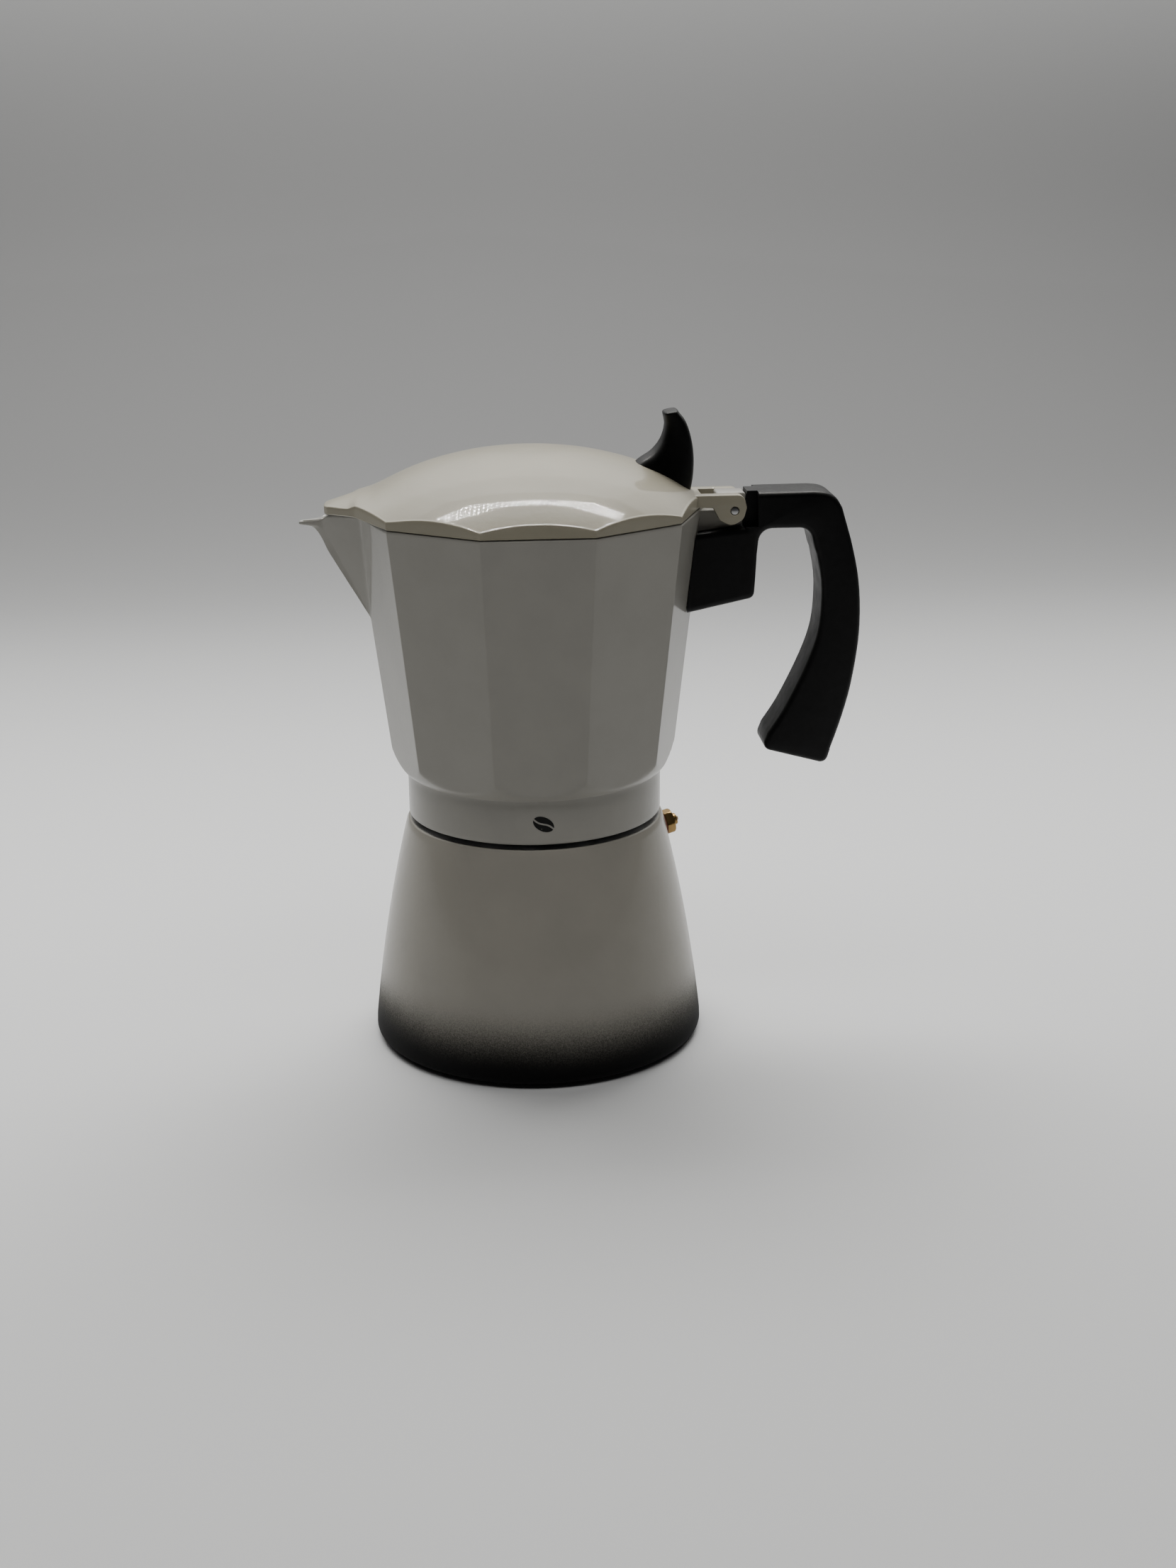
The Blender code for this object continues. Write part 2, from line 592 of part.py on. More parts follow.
def make_lid(parts, tools):
    """Domed lid: shell trimmed to the jug's outline, beak, hinge arms and the knob's screw hole."""
    inside = [(46.8, LID_Z), (46.0, 172.4), (43.4, 177.0), (40.0, 179.0), (30.0, 182.6), (18.0, 185.4), (0.0, 187.0)]
    outside = dome_profile() + [(57.0, LID_Z)]
    lid = turned("lid", outside + inside, parts)
    boolean(lid, beak(tools), "UNION")
    pad = box("hinge_pad", (45.2, -EAR_OUTER, LID_Z + 0.2), (53.9, EAR_OUTER, BRACKET_TOP_Z), tools)
    boolean(lid, pad, "UNION")
    boolean(lid, upright_prism("lid_trim", lid_outline_with_hinge(), LID_Z, 200, tools), "INTERSECT")
    for side, name in ((-1, "near_arm"), (1, "far_arm")):
        arm = plate(name, ear_outline(), (EAR_OUTER - EAR_INNER) / 2, tools)
        arm.location.y = side * (EAR_OUTER + EAR_INNER) / 2 * MM
        boolean(lid, arm, "UNION")
    boolean(lid, spout_wedge("spout_clearance", tools, lift=GAP), "DIFFERENCE")
    boolean(lid, pin_hole("ear_pin_hole", tools), "DIFFERENCE")
    hole = drum("knob_screw_hole", 2.3, -12, 12, tools, sides=16)
    hole.matrix_world = knob_matrix()
    boolean(lid, hole, "DIFFERENCE")
    material(lid, (0.68, 0.65, 0.60), 0.25)

    pin = drum("hinge_pin", PIN_R, -8.6, 8.6, parts)
    pin.matrix_world = pin_matrix()
    material(pin, (0.35, 0.35, 0.35), 0.4, 1.0)


def lid_outline_with_hinge():
    """Lid's outline with the corner at the handle cut square for the hinge pad."""
    kept = [(x, y) for x, y in lid_outline() if x < RIM_R - 1]
    edge = 53.9
    facet_x = RIM_R - EAR_OUTER * math.tan(math.radians(180 / FACETS))
    hinge = [(facet_x, -EAR_OUTER), (edge, -EAR_OUTER), (edge, EAR_OUTER), (facet_x, EAR_OUTER)]
    near = [point for point in kept if point[1] < 0]
    far = [point for point in kept if point[1] > 0]
    near.sort(key=lambda point: math.atan2(point[1], point[0]))
    far.sort(key=lambda point: math.atan2(point[1], point[0]))
    return near + hinge + far


def knob_matrix():
    """Placement of the knob's screw: local +Z is square to the dome at the knob's middle."""
    r = KNOB_SCREW_X
    z = DOME_TOP_Z - DOME_R + math.sqrt(DOME_R ** 2 - r ** 2)
    lean = math.asin(r / DOME_R)
    return Matrix.Translation((r * MM, 0, z * MM)) @ Matrix.Rotation(lean, 4, "Y")


def knob_outline():
    """Side outline of the fin-shaped knob, standing on the dome and leaning towards the spout."""
    front = smooth_outline([(32.5, 184.4), (36.7, 186.9), (40.3, 190.8), (41.4, 195.7), (40.6, 198.8)], 3)
    tip = smooth_outline([(41.6, 199.7), (45.2, 199.4), (47.4, 197.2)], 2)
    back = smooth_outline([(48.8, 193.6), (50.1, 187.5), (50.2, 181.0), (49.2, 175.2)], 3)
    return front + tip + back + [(46.0, 172.0), (32.0, 180.0)]


def make_knob(parts, tools):
    """Moulded knob on the dome, and the screw and washer that hold it from inside the lid."""
    knob = plate("knob", knob_outline(), KNOB_HALF, parts, bevel=1.6)
    dome = turned("dome_clearance", [(0.0, DOME_TOP_Z + GAP)] + dome_profile(GAP)[1:] + [(57.0, 150.0), (0.0, 150.0)],
                  tools)
    boolean(knob, dome, "DIFFERENCE")
    socket = drum("knob_socket", 2.2, -4, 10.6, tools, sides=16)
    socket.matrix_world = knob_matrix()
    boolean(knob, socket, "DIFFERENCE")
    material(knob, (0.012, 0.012, 0.012), 0.45)

    screw = turned("knob_screw", [(0.0, 10.0), (1.9, 10.0), (1.9, -4.7), (3.4, -4.7), (3.4, -6.2), (2.6, -7.0),
                                  (0.0, -7.0)], parts, SMALL)
    washer = turned("knob_washer", [(4.0, -3.5), (4.0, -4.4), (2.2, -4.4), (2.2, -3.5)], parts, SMALL)
    for piece in (screw, washer):
        piece.matrix_world = knob_matrix()
        material(piece, (0.6, 0.6, 0.6), 0.35, 1.0)


# ---------------------------------------------------------------- handle

def handle_outline():
    """Side outline of the handle: block against the jug, bar at the top and hooked grip."""
    block_front = [(44.0, 162.1), (65.3, 164.3), (66.6, 175.2)]
    corner = smooth_outline([(86.8, 175.2), (92.6, 173.6), (96.0, 168.8)], 3)
    back = smooth_outline([(99.2, 158.5), (101.9, 140.0), (101.3, 122.0), (97.4, 104.0), (93.0, 90.8)], 3)
    toe = [(91.8, 89.5), (90.4, 88.7), (74.4, 93.0), (72.4, 94.2), (72.4, 96.4)]
    inside = smooth_outline([(78.2, 106.0), (84.9, 119.6), (88.9, 132.0), (89.4, 147.4), (87.6, 156.5)], 3)
    bend = arc(81.8, 158.0, 5.8, 15, 90, 3)
    throat = arc(73.8, 159.8, 4.0, 90, 172, 3)
    block_bottom = [(68.7, 143.2), (67.8, 142.3), (44.0, 137.2)]
    return block_front + corner + back + toe + inside + bend + throat + block_bottom


def make_handle(parts, tools):
    """Moulded handle with its screw and washer, driven up into the hinge lug from below."""
    handle = plate("handle", handle_outline(), HANDLE_HALF, parts, bevel=HANDLE_BEVEL)
    boolean(handle, jug_block("handle_seat", 0.35, 125, 185, tools), "DIFFERENCE")
    for side, name in ((-1, "near_relief"), (1, "far_relief")):
        inner, outer = sorted((side * TONGUE_HALF, side * 12))
        relief = box(name, (60, inner, 164.4), (TONGUE_END_X, outer, 180), tools)
        boolean(handle, relief, "DIFFERENCE")
    boolean(handle, upright_hole("screw_clearance", 2.4, 130, 170, tools), "DIFFERENCE")
    boolean(handle, upright_hole("screw_counterbore", 4.4, 130, 150, tools), "DIFFERENCE")
    material(handle, (0.012, 0.012, 0.012), 0.5)

    screw = turned("handle_screw", [(0.0, 167.2), (1.9, 167.2), (1.9, 148.4), (3.6, 148.4), (3.6, 146.9),
                                    (2.6, 145.9), (0.0, 145.9)], parts, SMALL)
    washer = turned("handle_washer", [(3.9, 149.7), (3.9, 148.7), (2.2, 148.7), (2.2, 149.7)], parts, SMALL)
    for piece in (screw, washer):
        piece.location.x = HANDLE_SCREW_X * MM
        material(piece, (0.6, 0.6, 0.6), 0.35, 1.0)


def main():
    """Builds every piece of the pot."""
    clear_scene()
    parts = new_collection("moka_pot")
    tools = new_collection("cutters")
    make_boiler(parts, tools)
    make_valve(parts, tools)
    make_funnel(parts)
    make_seal(parts)
    make_collector(parts, tools)
    make_lid(parts, tools)
    make_knob(parts, tools)
    make_handle(parts, tools)


main()
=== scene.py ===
"""The looks of the moka pot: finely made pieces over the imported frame, their materials, and the studio.

The pot's sizes are in millimetres, those of the studio and the materials in metres. The frame is the
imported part's: +Z up from the centre of the base's underside, +X towards the handle, -X the spout.
"""

import math

import bmesh
import bpy
import numpy as np
from mathutils import Matrix, Vector

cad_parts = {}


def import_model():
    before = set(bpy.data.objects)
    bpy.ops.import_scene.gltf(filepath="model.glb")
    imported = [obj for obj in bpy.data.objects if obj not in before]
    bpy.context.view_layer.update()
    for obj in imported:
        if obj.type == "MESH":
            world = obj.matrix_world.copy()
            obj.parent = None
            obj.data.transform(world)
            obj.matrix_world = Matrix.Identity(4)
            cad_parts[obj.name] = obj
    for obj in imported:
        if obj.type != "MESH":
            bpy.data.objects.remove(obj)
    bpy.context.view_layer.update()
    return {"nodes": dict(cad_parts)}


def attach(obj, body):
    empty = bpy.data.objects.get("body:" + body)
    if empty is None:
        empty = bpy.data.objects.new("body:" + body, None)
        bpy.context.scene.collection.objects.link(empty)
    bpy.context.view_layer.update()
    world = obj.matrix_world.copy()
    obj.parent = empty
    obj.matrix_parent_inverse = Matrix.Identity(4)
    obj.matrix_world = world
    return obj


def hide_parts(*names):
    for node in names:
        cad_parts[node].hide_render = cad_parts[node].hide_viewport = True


MM = 0.001

# Boiler
BELLY_R, BELLY_Z = 52.85, 5.0
SHOULDER_R, SHOULDER_Z = 40.75, 72.5
BOILER_WALL = 3.0
NECK_R, NECK_BORE_R, NECK_TOP_Z = 35.4, 32.4, 88.0
DISC_R, DISC_THICK = 47.0, 1.8

# Collector
COLLAR_R, COLLAR_BORE_R = 40.0, 37.5
COLLAR_BOTTOM_Z, COLLAR_TOP_Z, CEILING_Z = 75.0, 88.9, 93.8
THREAD_PITCH, THREAD_HEIGHT = 3.0, 0.85
FACET_ANGLE = 36.0
RIM_Z, RIM_R, FACET_TAPER = 170.1, 53.67, 0.1182
JUG_FLOOR_Z, JUG_BORE_TOP_R, JUG_BORE_BOTTOM_R = 99.0, 47.9, 40.4
COLUMN_HOLE_R = 5.6
EDGE_R = 0.8                     # rounding of the corners between facets
ROLL_TOP_Z = 103.0               # top of the jug's flare out of the collar
RIM_ROUND = 0.55                 # rounding of the rim's two edges

# Spout
APEX_Z, KEEL_Z, SPOUT_TOP_Z = 136.2, 166.6, 171.4
KEEL_FOOT_X, KEEL_SLOPE = -49.0, 0.5704
CHEEK = 0.22                     # share of the spout's side that the lip's flare takes

# Lid
LID_Z = 170.4
BRACKET_TOP_Z = 174.6
PIN_X, PIN_Z, PIN_R = 62.2, 169.7, 1.2
EAR_INNER, EAR_OUTER = 4.6, 8.8
LUG_HALF = 4.3
LID_LIP = 0.45                   # rounding of the skirt's upper edge
LID_BORE_R = 47.2
BEAK_X, BEAK_HALF = -62.6, 15.4

# Handle and knob
HANDLE_HALF, HANDLE_BEVEL = 8.5, 1.7
TONGUE_HALF, TONGUE_END_X = 4.3, 69.6
KNOB_SINK = 1.2                  # how far the knob's foot goes into the lid

# Valve
VALVE_AZIMUTH, VALVE_Z = 12.0, 64.5
VALVE_HALF_FLATS, VALVE_FACE_Z = 3.55, 3.6
VALVE_SHANK_R, VALVE_BORE_R, VALVE_SEAT_R = 2.9, 2.0, 0.9

# Paint
CREAM = (0.296, 0.279, 0.240)
JUG_CREAM, LID_CREAM = (0.291, 0.280, 0.249), (0.284, 0.261, 0.198)
BLACK = (0.0025, 0.0025, 0.0027)
COAT = 0.5                       # strength of the clear gloss

# Studio
# backdrop colours hold painted light and shade: near black at the floor's front edge, darker in front of
# the pot, paler round and behind it, and the wall in shade
FLOOR_EDGE_SHADE, FLOOR_FRONT_SHADE = (0.02, 0.02, 0.02), (0.42, 0.42, 0.415)
FLOOR_BACK_LIGHT, WALL = (0.56, 0.56, 0.555), (0.16, 0.16, 0.158)
CAMERA_AT = (-0.02883, -0.64384, 0.28296)
CAMERA_HEADING, CAMERA_PITCH, CAMERA_ROLL = 4.078, 17.343, 0.5928     # degrees
CAMERA_LENS = 48.585


# -------- geometry helpers

def curve_through(xs, ys):
    """Returns a smooth function through points, monotone between them."""
    xs, ys = np.array(xs, float), np.array(ys, float)
    steps = np.diff(xs)
    rise = np.diff(ys) / steps
    slope = np.zeros(len(xs))
    slope[0], slope[-1] = rise[0], rise[-1]
    for i in range(1, len(xs) - 1):
        if rise[i - 1] * rise[i] > 0:
            slope[i] = 2 * rise[i - 1] * rise[i] / (rise[i - 1] + rise[i])

    def value(x):
        x = np.clip(x, xs[0], xs[-1])
        i = np.clip(np.searchsorted(xs, x) - 1, 0, len(steps) - 1)
        t = (x - xs[i]) / steps[i]
        return ((1 + 2 * t) * (1 - t) ** 2 * ys[i] + t * (1 - t) ** 2 * steps[i] * slope[i]
                + t * t * (3 - 2 * t) * ys[i + 1] + t * t * (t - 1) * steps[i] * slope[i + 1])

    return value


def smooth_max(a, b, blend):
    """Larger of two heights, with a fillet where they cross."""
    mix = np.clip(0.5 + 0.5 * (a - b) / blend, 0, 1)
    return b + (a - b) * mix + blend * mix * (1 - mix)


def smooth_min(a, b, blend):
    """Smaller of two heights, with a fillet where they cross."""
    return -smooth_max(-a, -b, blend)


def rounded(corners, steps=5, closed=True):
    """Turns corners (x, y, radius) into points, with an arc at each corner that has a radius."""
    result = []
    count = len(corners)
    for i, (x, y, radius) in enumerate(corners):
        here = np.array((x, y), float)
        end = not closed and i in (0, count - 1)
        if end or radius == 0:
            result.append((x, y))
            continue
        to_last = np.array(corners[i - 1][:2], float) - here
        to_next = np.array(corners[(i + 1) % count][:2], float) - here
        last_length, next_length = np.linalg.norm(to_last), np.linalg.norm(to_next)
        to_last, to_next = to_last / last_length, to_next / next_length
        half = 0.5 * math.acos(np.clip(to_last @ to_next, -1, 1))
        reach = min(radius / math.tan(half), 0.48 * last_length, 0.48 * next_length)
        arc_r = reach * math.tan(half)
        middle = (to_last + to_next) / np.linalg.norm(to_last + to_next)
        centre = here + middle * arc_r / math.sin(half)
        start, stop = here + to_last * reach - centre, here + to_next * reach - centre
        sweep = math.pi - 2 * half
        for k in range(steps + 1):
            t = k / steps
            point = (math.sin((1 - t) * sweep) * start + math.sin(t * sweep) * stop) / math.sin(sweep)
            result.append(tuple(centre + point))
    return result


def smooth_outline(points, steps):
    """Returns a Catmull-Rom curve through the points, with the ends kept."""
    ends = [np.array(p, float) for p in [points[0], *points, points[-1]]]
    result = []
    for p, q, r, s in zip(ends, ends[1:], ends[2:], ends[3:]):
        for i in range(steps):
            t = i / steps
            result.append(tuple(0.5 * (2 * q + (r - p) * t + (2 * p - 5 * q + 4 * r - s) * t * t
                                       + (3 * q - p - 3 * r + s) * t ** 3)))
    result.append(tuple(points[-1]))
    return result


def circle(radius, count, centre=(0.0, 0.0)):
    """Points round a circle, from +X."""
    turns = [math.tau * k / count for k in range(count)]
    x, y = centre
    return [(x + radius * math.cos(turn), y + radius * math.sin(turn)) for turn in turns]


def level_ring(radius, z, count):
    """Points round a circle about the axis at a height."""
    return [(x, y, z) for x, y in circle(radius, count)]


def level_row(theta, radius, z):
    """Row of points in the directions theta; radius and z are one number or one for each direction."""
    radius, z = np.broadcast_to(radius, theta.shape), np.broadcast_to(z, theta.shape)
    return np.stack([radius * np.cos(theta), radius * np.sin(theta), z], -1).tolist()


def row_lists(theta):
    """Returns empty lists of rows and of their bands' materials, and a function that adds to both."""
    rows, slots = [], []

    def add(radius, z, slot):
        rows.append(level_row(theta, radius, z))
        slots.append(slot)

    return rows, slots, add


def new_object(name, data):
    """Links a mesh, a curve, a lamp or a camera as an object."""
    obj = bpy.data.objects.new(name, data)
    bpy.context.scene.collection.objects.link(obj)
    return obj


def dress(obj, *materials):
    """Gives an object its materials, in the order of their indices."""
    for material in materials:
        obj.data.materials.append(material)
    return obj


def place(obj, body, node):
    """Makes a piece ride on a body in place of a node of the frame."""
    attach(obj, body)
    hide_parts(node)


def mesh_of(name, bm):
    """Makes a mesh of a bmesh and frees it."""
    mesh = bpy.data.meshes.new(name)
    bm.to_mesh(mesh)
    bm.free()
    return mesh


def shade(mesh, sharp=40):
    """Shades a mesh smooth, apart from edges sharper than an angle in degrees."""
    mesh.shade_smooth()
    mesh.set_sharp_from_angle(angle=math.radians(sharp))


def finish_mesh(name, bm, sharp=40):
    """Scales a bmesh in millimetres to metres and makes a smooth-shaded object."""
    bmesh.ops.scale(bm, vec=(MM, MM, MM), verts=bm.verts)
    bmesh.ops.recalc_face_normals(bm, faces=bm.faces)
    mesh = mesh_of(name, bm)
    shade(mesh, sharp)
    return new_object(name, mesh)


def grid_mesh(name, rows, loop=False, slots=None, sharp=40):
    """Makes a surface from rows of points round the axis.

    Rows close round. With loop the last row joins the first, else a row of one point caps each end.
    slots gives the material index of the band above each row.
    """
    bm = bmesh.new()
    made = [[bm.verts.new(point) for point in row] for row in rows]
    bands = list(zip(made, made[1:]))
    if loop:
        bands.append((made[-1], made[0]))
    for index, (low, high) in enumerate(bands):
        count = max(len(low), len(high))
        for i in range(count):
            j = (i + 1) % count
            if len(low) == 1:
                face = bm.faces.new((low[0], high[j], high[i]))
            elif len(high) == 1:
                face = bm.faces.new((low[i], low[j], high[0]))
            else:
                face = bm.faces.new((low[i], low[j], high[j], high[i]))
            face.material_index = slots[index] if slots else 0
    return finish_mesh(name, bm, sharp)


def turned(name, profile, sides=128):
    """Turns a profile of (radius, z) about the axis; one that starts off the axis closes to a ring."""
    rows = [level_ring(r, z, sides if r else 1) for r, z in profile]
    return grid_mesh(name, rows, loop=profile[0][0] > 0)


def plate(name, outline, half, bevel=0.0, rounding=3, holes=()):
    """Extrudes a flat outline of (x, z) points along Y as a filled curve with rounded edges."""
    curve = bpy.data.curves.new(name, "CURVE")
    curve.dimensions = "2D"
    curve.fill_mode = "BOTH"
    curve.extrude = (half - bevel) * MM
    curve.bevel_depth = bevel * MM
    curve.bevel_resolution = rounding
    curve.offset = -bevel * MM
    for points in [outline, *holes]:
        spline = curve.splines.new("POLY")
        spline.points.add(len(points) - 1)
        for point, (x, z) in zip(spline.points, points):
            point.co = (x * MM, z * MM, 0.0, 1.0)
        spline.use_cyclic_u = True
    guide = new_object(name, curve)
    guide.rotation_euler = (math.radians(90), 0, 0)
    return as_mesh(guide)


def as_mesh(guide):
    """Replaces a curve by the welded mesh of its shape, in the row frame."""
    bpy.context.view_layer.update()
    mesh = bpy.data.meshes.new_from_object(guide.evaluated_get(bpy.context.evaluated_depsgraph_get()))
    bm = bmesh.new()
    bm.from_mesh(mesh)
    bmesh.ops.remove_doubles(bm, verts=bm.verts, dist=0.00001)
    bmesh.ops.transform(bm, matrix=guide.matrix_world, verts=bm.verts)
    bmesh.ops.recalc_face_normals(bm, faces=bm.faces)
    bm.to_mesh(mesh)
    bm.free()
    shade(mesh)
    name = guide.name
    bpy.data.curves.remove(guide.data)
    return new_object(name, mesh)


def box(name, low, high):
    """Makes a box between two corners."""
    bm = bmesh.new()
    bmesh.ops.create_cube(bm, size=1.0)
    bmesh.ops.scale(bm, vec=[b - a for a, b in zip(low, high)], verts=bm.verts)
    bmesh.ops.translate(bm, vec=[(a + b) / 2 for a, b in zip(low, high)], verts=bm.verts)
    return finish_mesh(name, bm)


def combine(target, tool, operation):
    """Applies an exact Boolean of the tool to the target and removes the tool."""
    modifier = target.modifiers.new("combine", "BOOLEAN")
    modifier.operation = operation
    modifier.solver = "EXACT"
    modifier.object = tool
    bpy.context.view_layer.update()
    mesh = bpy.data.meshes.new_from_object(target.evaluated_get(bpy.context.evaluated_depsgraph_get()))
    target.modifiers.clear()
    old = target.data
    target.data = mesh
    mesh.name = old.name
    bpy.data.meshes.remove(old)
    bpy.data.objects.remove(tool)
    shade(mesh, 35)


# -------- shared shapes

def boiler_radius(z):
    """Radius of the boiler's outer wall at a height."""
    rise = (z - BELLY_Z) / (SHOULDER_Z - BELLY_Z)
    return BELLY_R - (BELLY_R - SHOULDER_R) * (0.595 * rise + 0.405 * rise ** 2)


def corner_radius(z):
    """Radius of the jug's corners at a height."""
    return RIM_R - (RIM_Z - z) * FACET_TAPER


def decagon(theta, corner_r):
    """Radius of a ten-sided outline with rounded corners, in each direction."""
    half = math.radians(FACET_ANGLE / 2)
    apothem = corner_r * math.cos(half)
    from_corner = (theta + half) % (2 * half) - half
    flat = apothem / np.cos(half - np.abs(from_corner))
    centre = (apothem - EDGE_R) / math.cos(half)
    inside = np.maximum(EDGE_R ** 2 - (centre * np.sin(from_corner)) ** 2, 0)
    arc = centre * np.cos(from_corner) + np.sqrt(inside)
    limit = np.arctan((apothem - EDGE_R) * math.tan(half) / apothem)
    return np.where(half - np.abs(from_corner) > limit, arc, flat)


def polar_outline(theta, points):
    """Distance from the axis to a polygon's side, in each direction; zero where no side is met."""
    result = np.zeros_like(theta)
    direction = np.stack([np.cos(theta), np.sin(theta)], -1)
    for (ax, ay), (bx, by) in zip(points, points[1:]):
        cross_a = direction[:, 0] * ay - direction[:, 1] * ax
        cross_b = direction[:, 0] * by - direction[:, 1] * bx
        ahead = direction[:, 0] * (ax + bx) + direction[:, 1] * (ay + by) > 0
        inside = (cross_a * cross_b <= 0) & ahead & (np.abs(cross_a - cross_b) > 1e-9)
        share = np.where(inside, cross_a / np.where(inside, cross_a - cross_b, 1), 0)
        x, y = ax + share * (bx - ax), ay + share * (by - ay)
        result = np.where(inside, np.maximum(result, np.hypot(x, y)), result)
    return result


dome_height = curve_through(
    [0, 10, 20, 30, 38, 43, 46, 49, 51.5, RIM_R, 58],
    [189.1, 188.7, 187.4, 185.0, 182.2, 179.75, 177.9, 175.85, 173.95, 172.2, 168.5])


# -------- collector

nose_x = curve_through(
    [APEX_Z, 150, 158, KEEL_Z, 166.9, 167.2, 167.6, 168.4, 169.3, 170.1, SPOUT_TOP_Z],
    [-49.0, -56.87, -61.43, -66.34, -68.2, -69.9, -70.4, -69.4, -67.9, -66.2, -64.0])
nose_half = curve_through([APEX_Z, 140, KEEL_Z, 167.6, 169.3, 170.1, SPOUT_TOP_Z],
                          [0.0, 0.3, 0.6, 1.3, 1.9, 2.4, 3.2])
channel_x = curve_through(
    [APEX_Z + 2, 160, 163.5, KEEL_Z, 167.1, 167.6, 168.4, 169.3, 170.1, SPOUT_TOP_Z],
    [-45.8, -59.0, -61.6, -64.6, -66.2, -68.9, -67.9, -66.3, -64.6, -62.3])
channel_half = curve_through([APEX_Z + 2, 160, KEEL_Z, 167.6, 169.3, 170.1, SPOUT_TOP_Z],
                             [0.2, 0.3, 0.4, 0.8, 1.2, 1.5, 2.1])


def spout_corners(z, inner):
    """Half of the spout's cross-section at a height: nose, cheek, crease and the end on the facet."""
    rise = min(max((z - APEX_Z) / (SPOUT_TOP_Z - APEX_Z), 0.0), 1.0)
    keel = KEEL_FOOT_X - KEEL_SLOPE * (z - APEX_Z)
    if inner:
        nose = (float(channel_x(z)), -float(channel_half(z)))
        crease = (-48.9 + 2.0 * (1 - rise), -9.8 * rise - 0.5)
        end = (-40.0, -20.5 * rise - 1.0)
        keel += 3.4
    else:
        nose = (float(nose_x(z)), -float(nose_half(z)))
        crease = (-49.6 - 1.9 * rise, -12.5 * rise)
        share = min(max((z - APEX_Z) / (RIM_Z - APEX_Z), 0.0), 1.0)
        corner = corner_radius(z)
        half = math.radians(FACET_ANGLE / 2)
        along = 2 * corner * math.sin(half) * (1 - (1 - share) ** 1.2)
        end = (-corner + along * math.sin(half), -along * math.cos(half))
    cheek = (keel + CHEEK * (crease[0] - keel), CHEEK * crease[1])
    return [(nose[0], 0.0), nose, cheek, crease, end]


def spout_radius(theta, z, inner):
    """Radius of the spout's walls, or of its channel, in each direction; zero beside the spout."""
    if z <= APEX_Z + (2 if inner else 0):
        return np.zeros_like(theta)
    half = spout_corners(z, inner)
    near = polar_outline(theta, half)
    far = polar_outline(theta, [(x, -y) for x, y in half])
    return np.maximum(near, far)


def rim_height(theta):
    """Height of the jug's rim: level, a little higher beside the spout, and falling along the lip."""
    from_spout = np.abs(np.degrees(theta) % 360 - 180)
    lip = curve_through([0.0, 1.3, 2.8, 3.75, 4.6, 9.0, 13.7, 24.0, 36.0],
                        [168.1, 168.3, 169.3, 170.1, 170.6, 171.0, 171.2, 170.7, RIM_Z])
    return lip(from_spout)


roll_radius = curve_through([COLLAR_TOP_Z, 89.4, 90.5, 92.0, 93.5, 95.0, 97.0, ROLL_TOP_Z],
                            [40.6, 41.1, 42.05, 43.1, 44.0, 44.8, 45.8, 48.0])


def jug_radius(theta, z):
    """Outer radius of the jug's ten-sided body in each direction, drawn in to the collar."""
    body = decagon(theta, corner_radius(z))
    return np.where(z < ROLL_TOP_Z, smooth_min(body, roll_radius(z), 0.25), body)


def thread_wave(theta, z, low, high):
    """Height of a right-hand thread ridge at a place on a round wall, fading out at both ends."""
    turn = (z / THREAD_PITCH - theta / math.tau) % 1.0
    ridge = np.clip(1.9 - 5.5 * np.abs(turn - 0.5), 0, 1)
    fade = np.clip(min(z - low, high - z) / 1.0, 0, 1)
    return THREAD_HEIGHT * ridge * ridge * (3 - 2 * ridge) * fade


def jug_angles():
    """Directions of the jug's grid: close together at the corners and round the spout."""
    offsets = [0, 0.15, 0.3, 0.42, 0.8, 1.6, 4, 7, 10.5, 14.2, 18]
    degrees = set()
    for corner in range(10):
        for offset in offsets:
            degrees.add(round(corner * 36 + offset, 3) % 360)
            degrees.add(round(corner * 36 - offset, 3) % 360)
    for step in range(-60, 61):
        degrees.add(round(180 + step * 0.6, 3))
    for step in range(-10, 11):
        degrees.add(round(180 + step * 0.3, 3))
    return np.radians(np.array(sorted(degrees)))


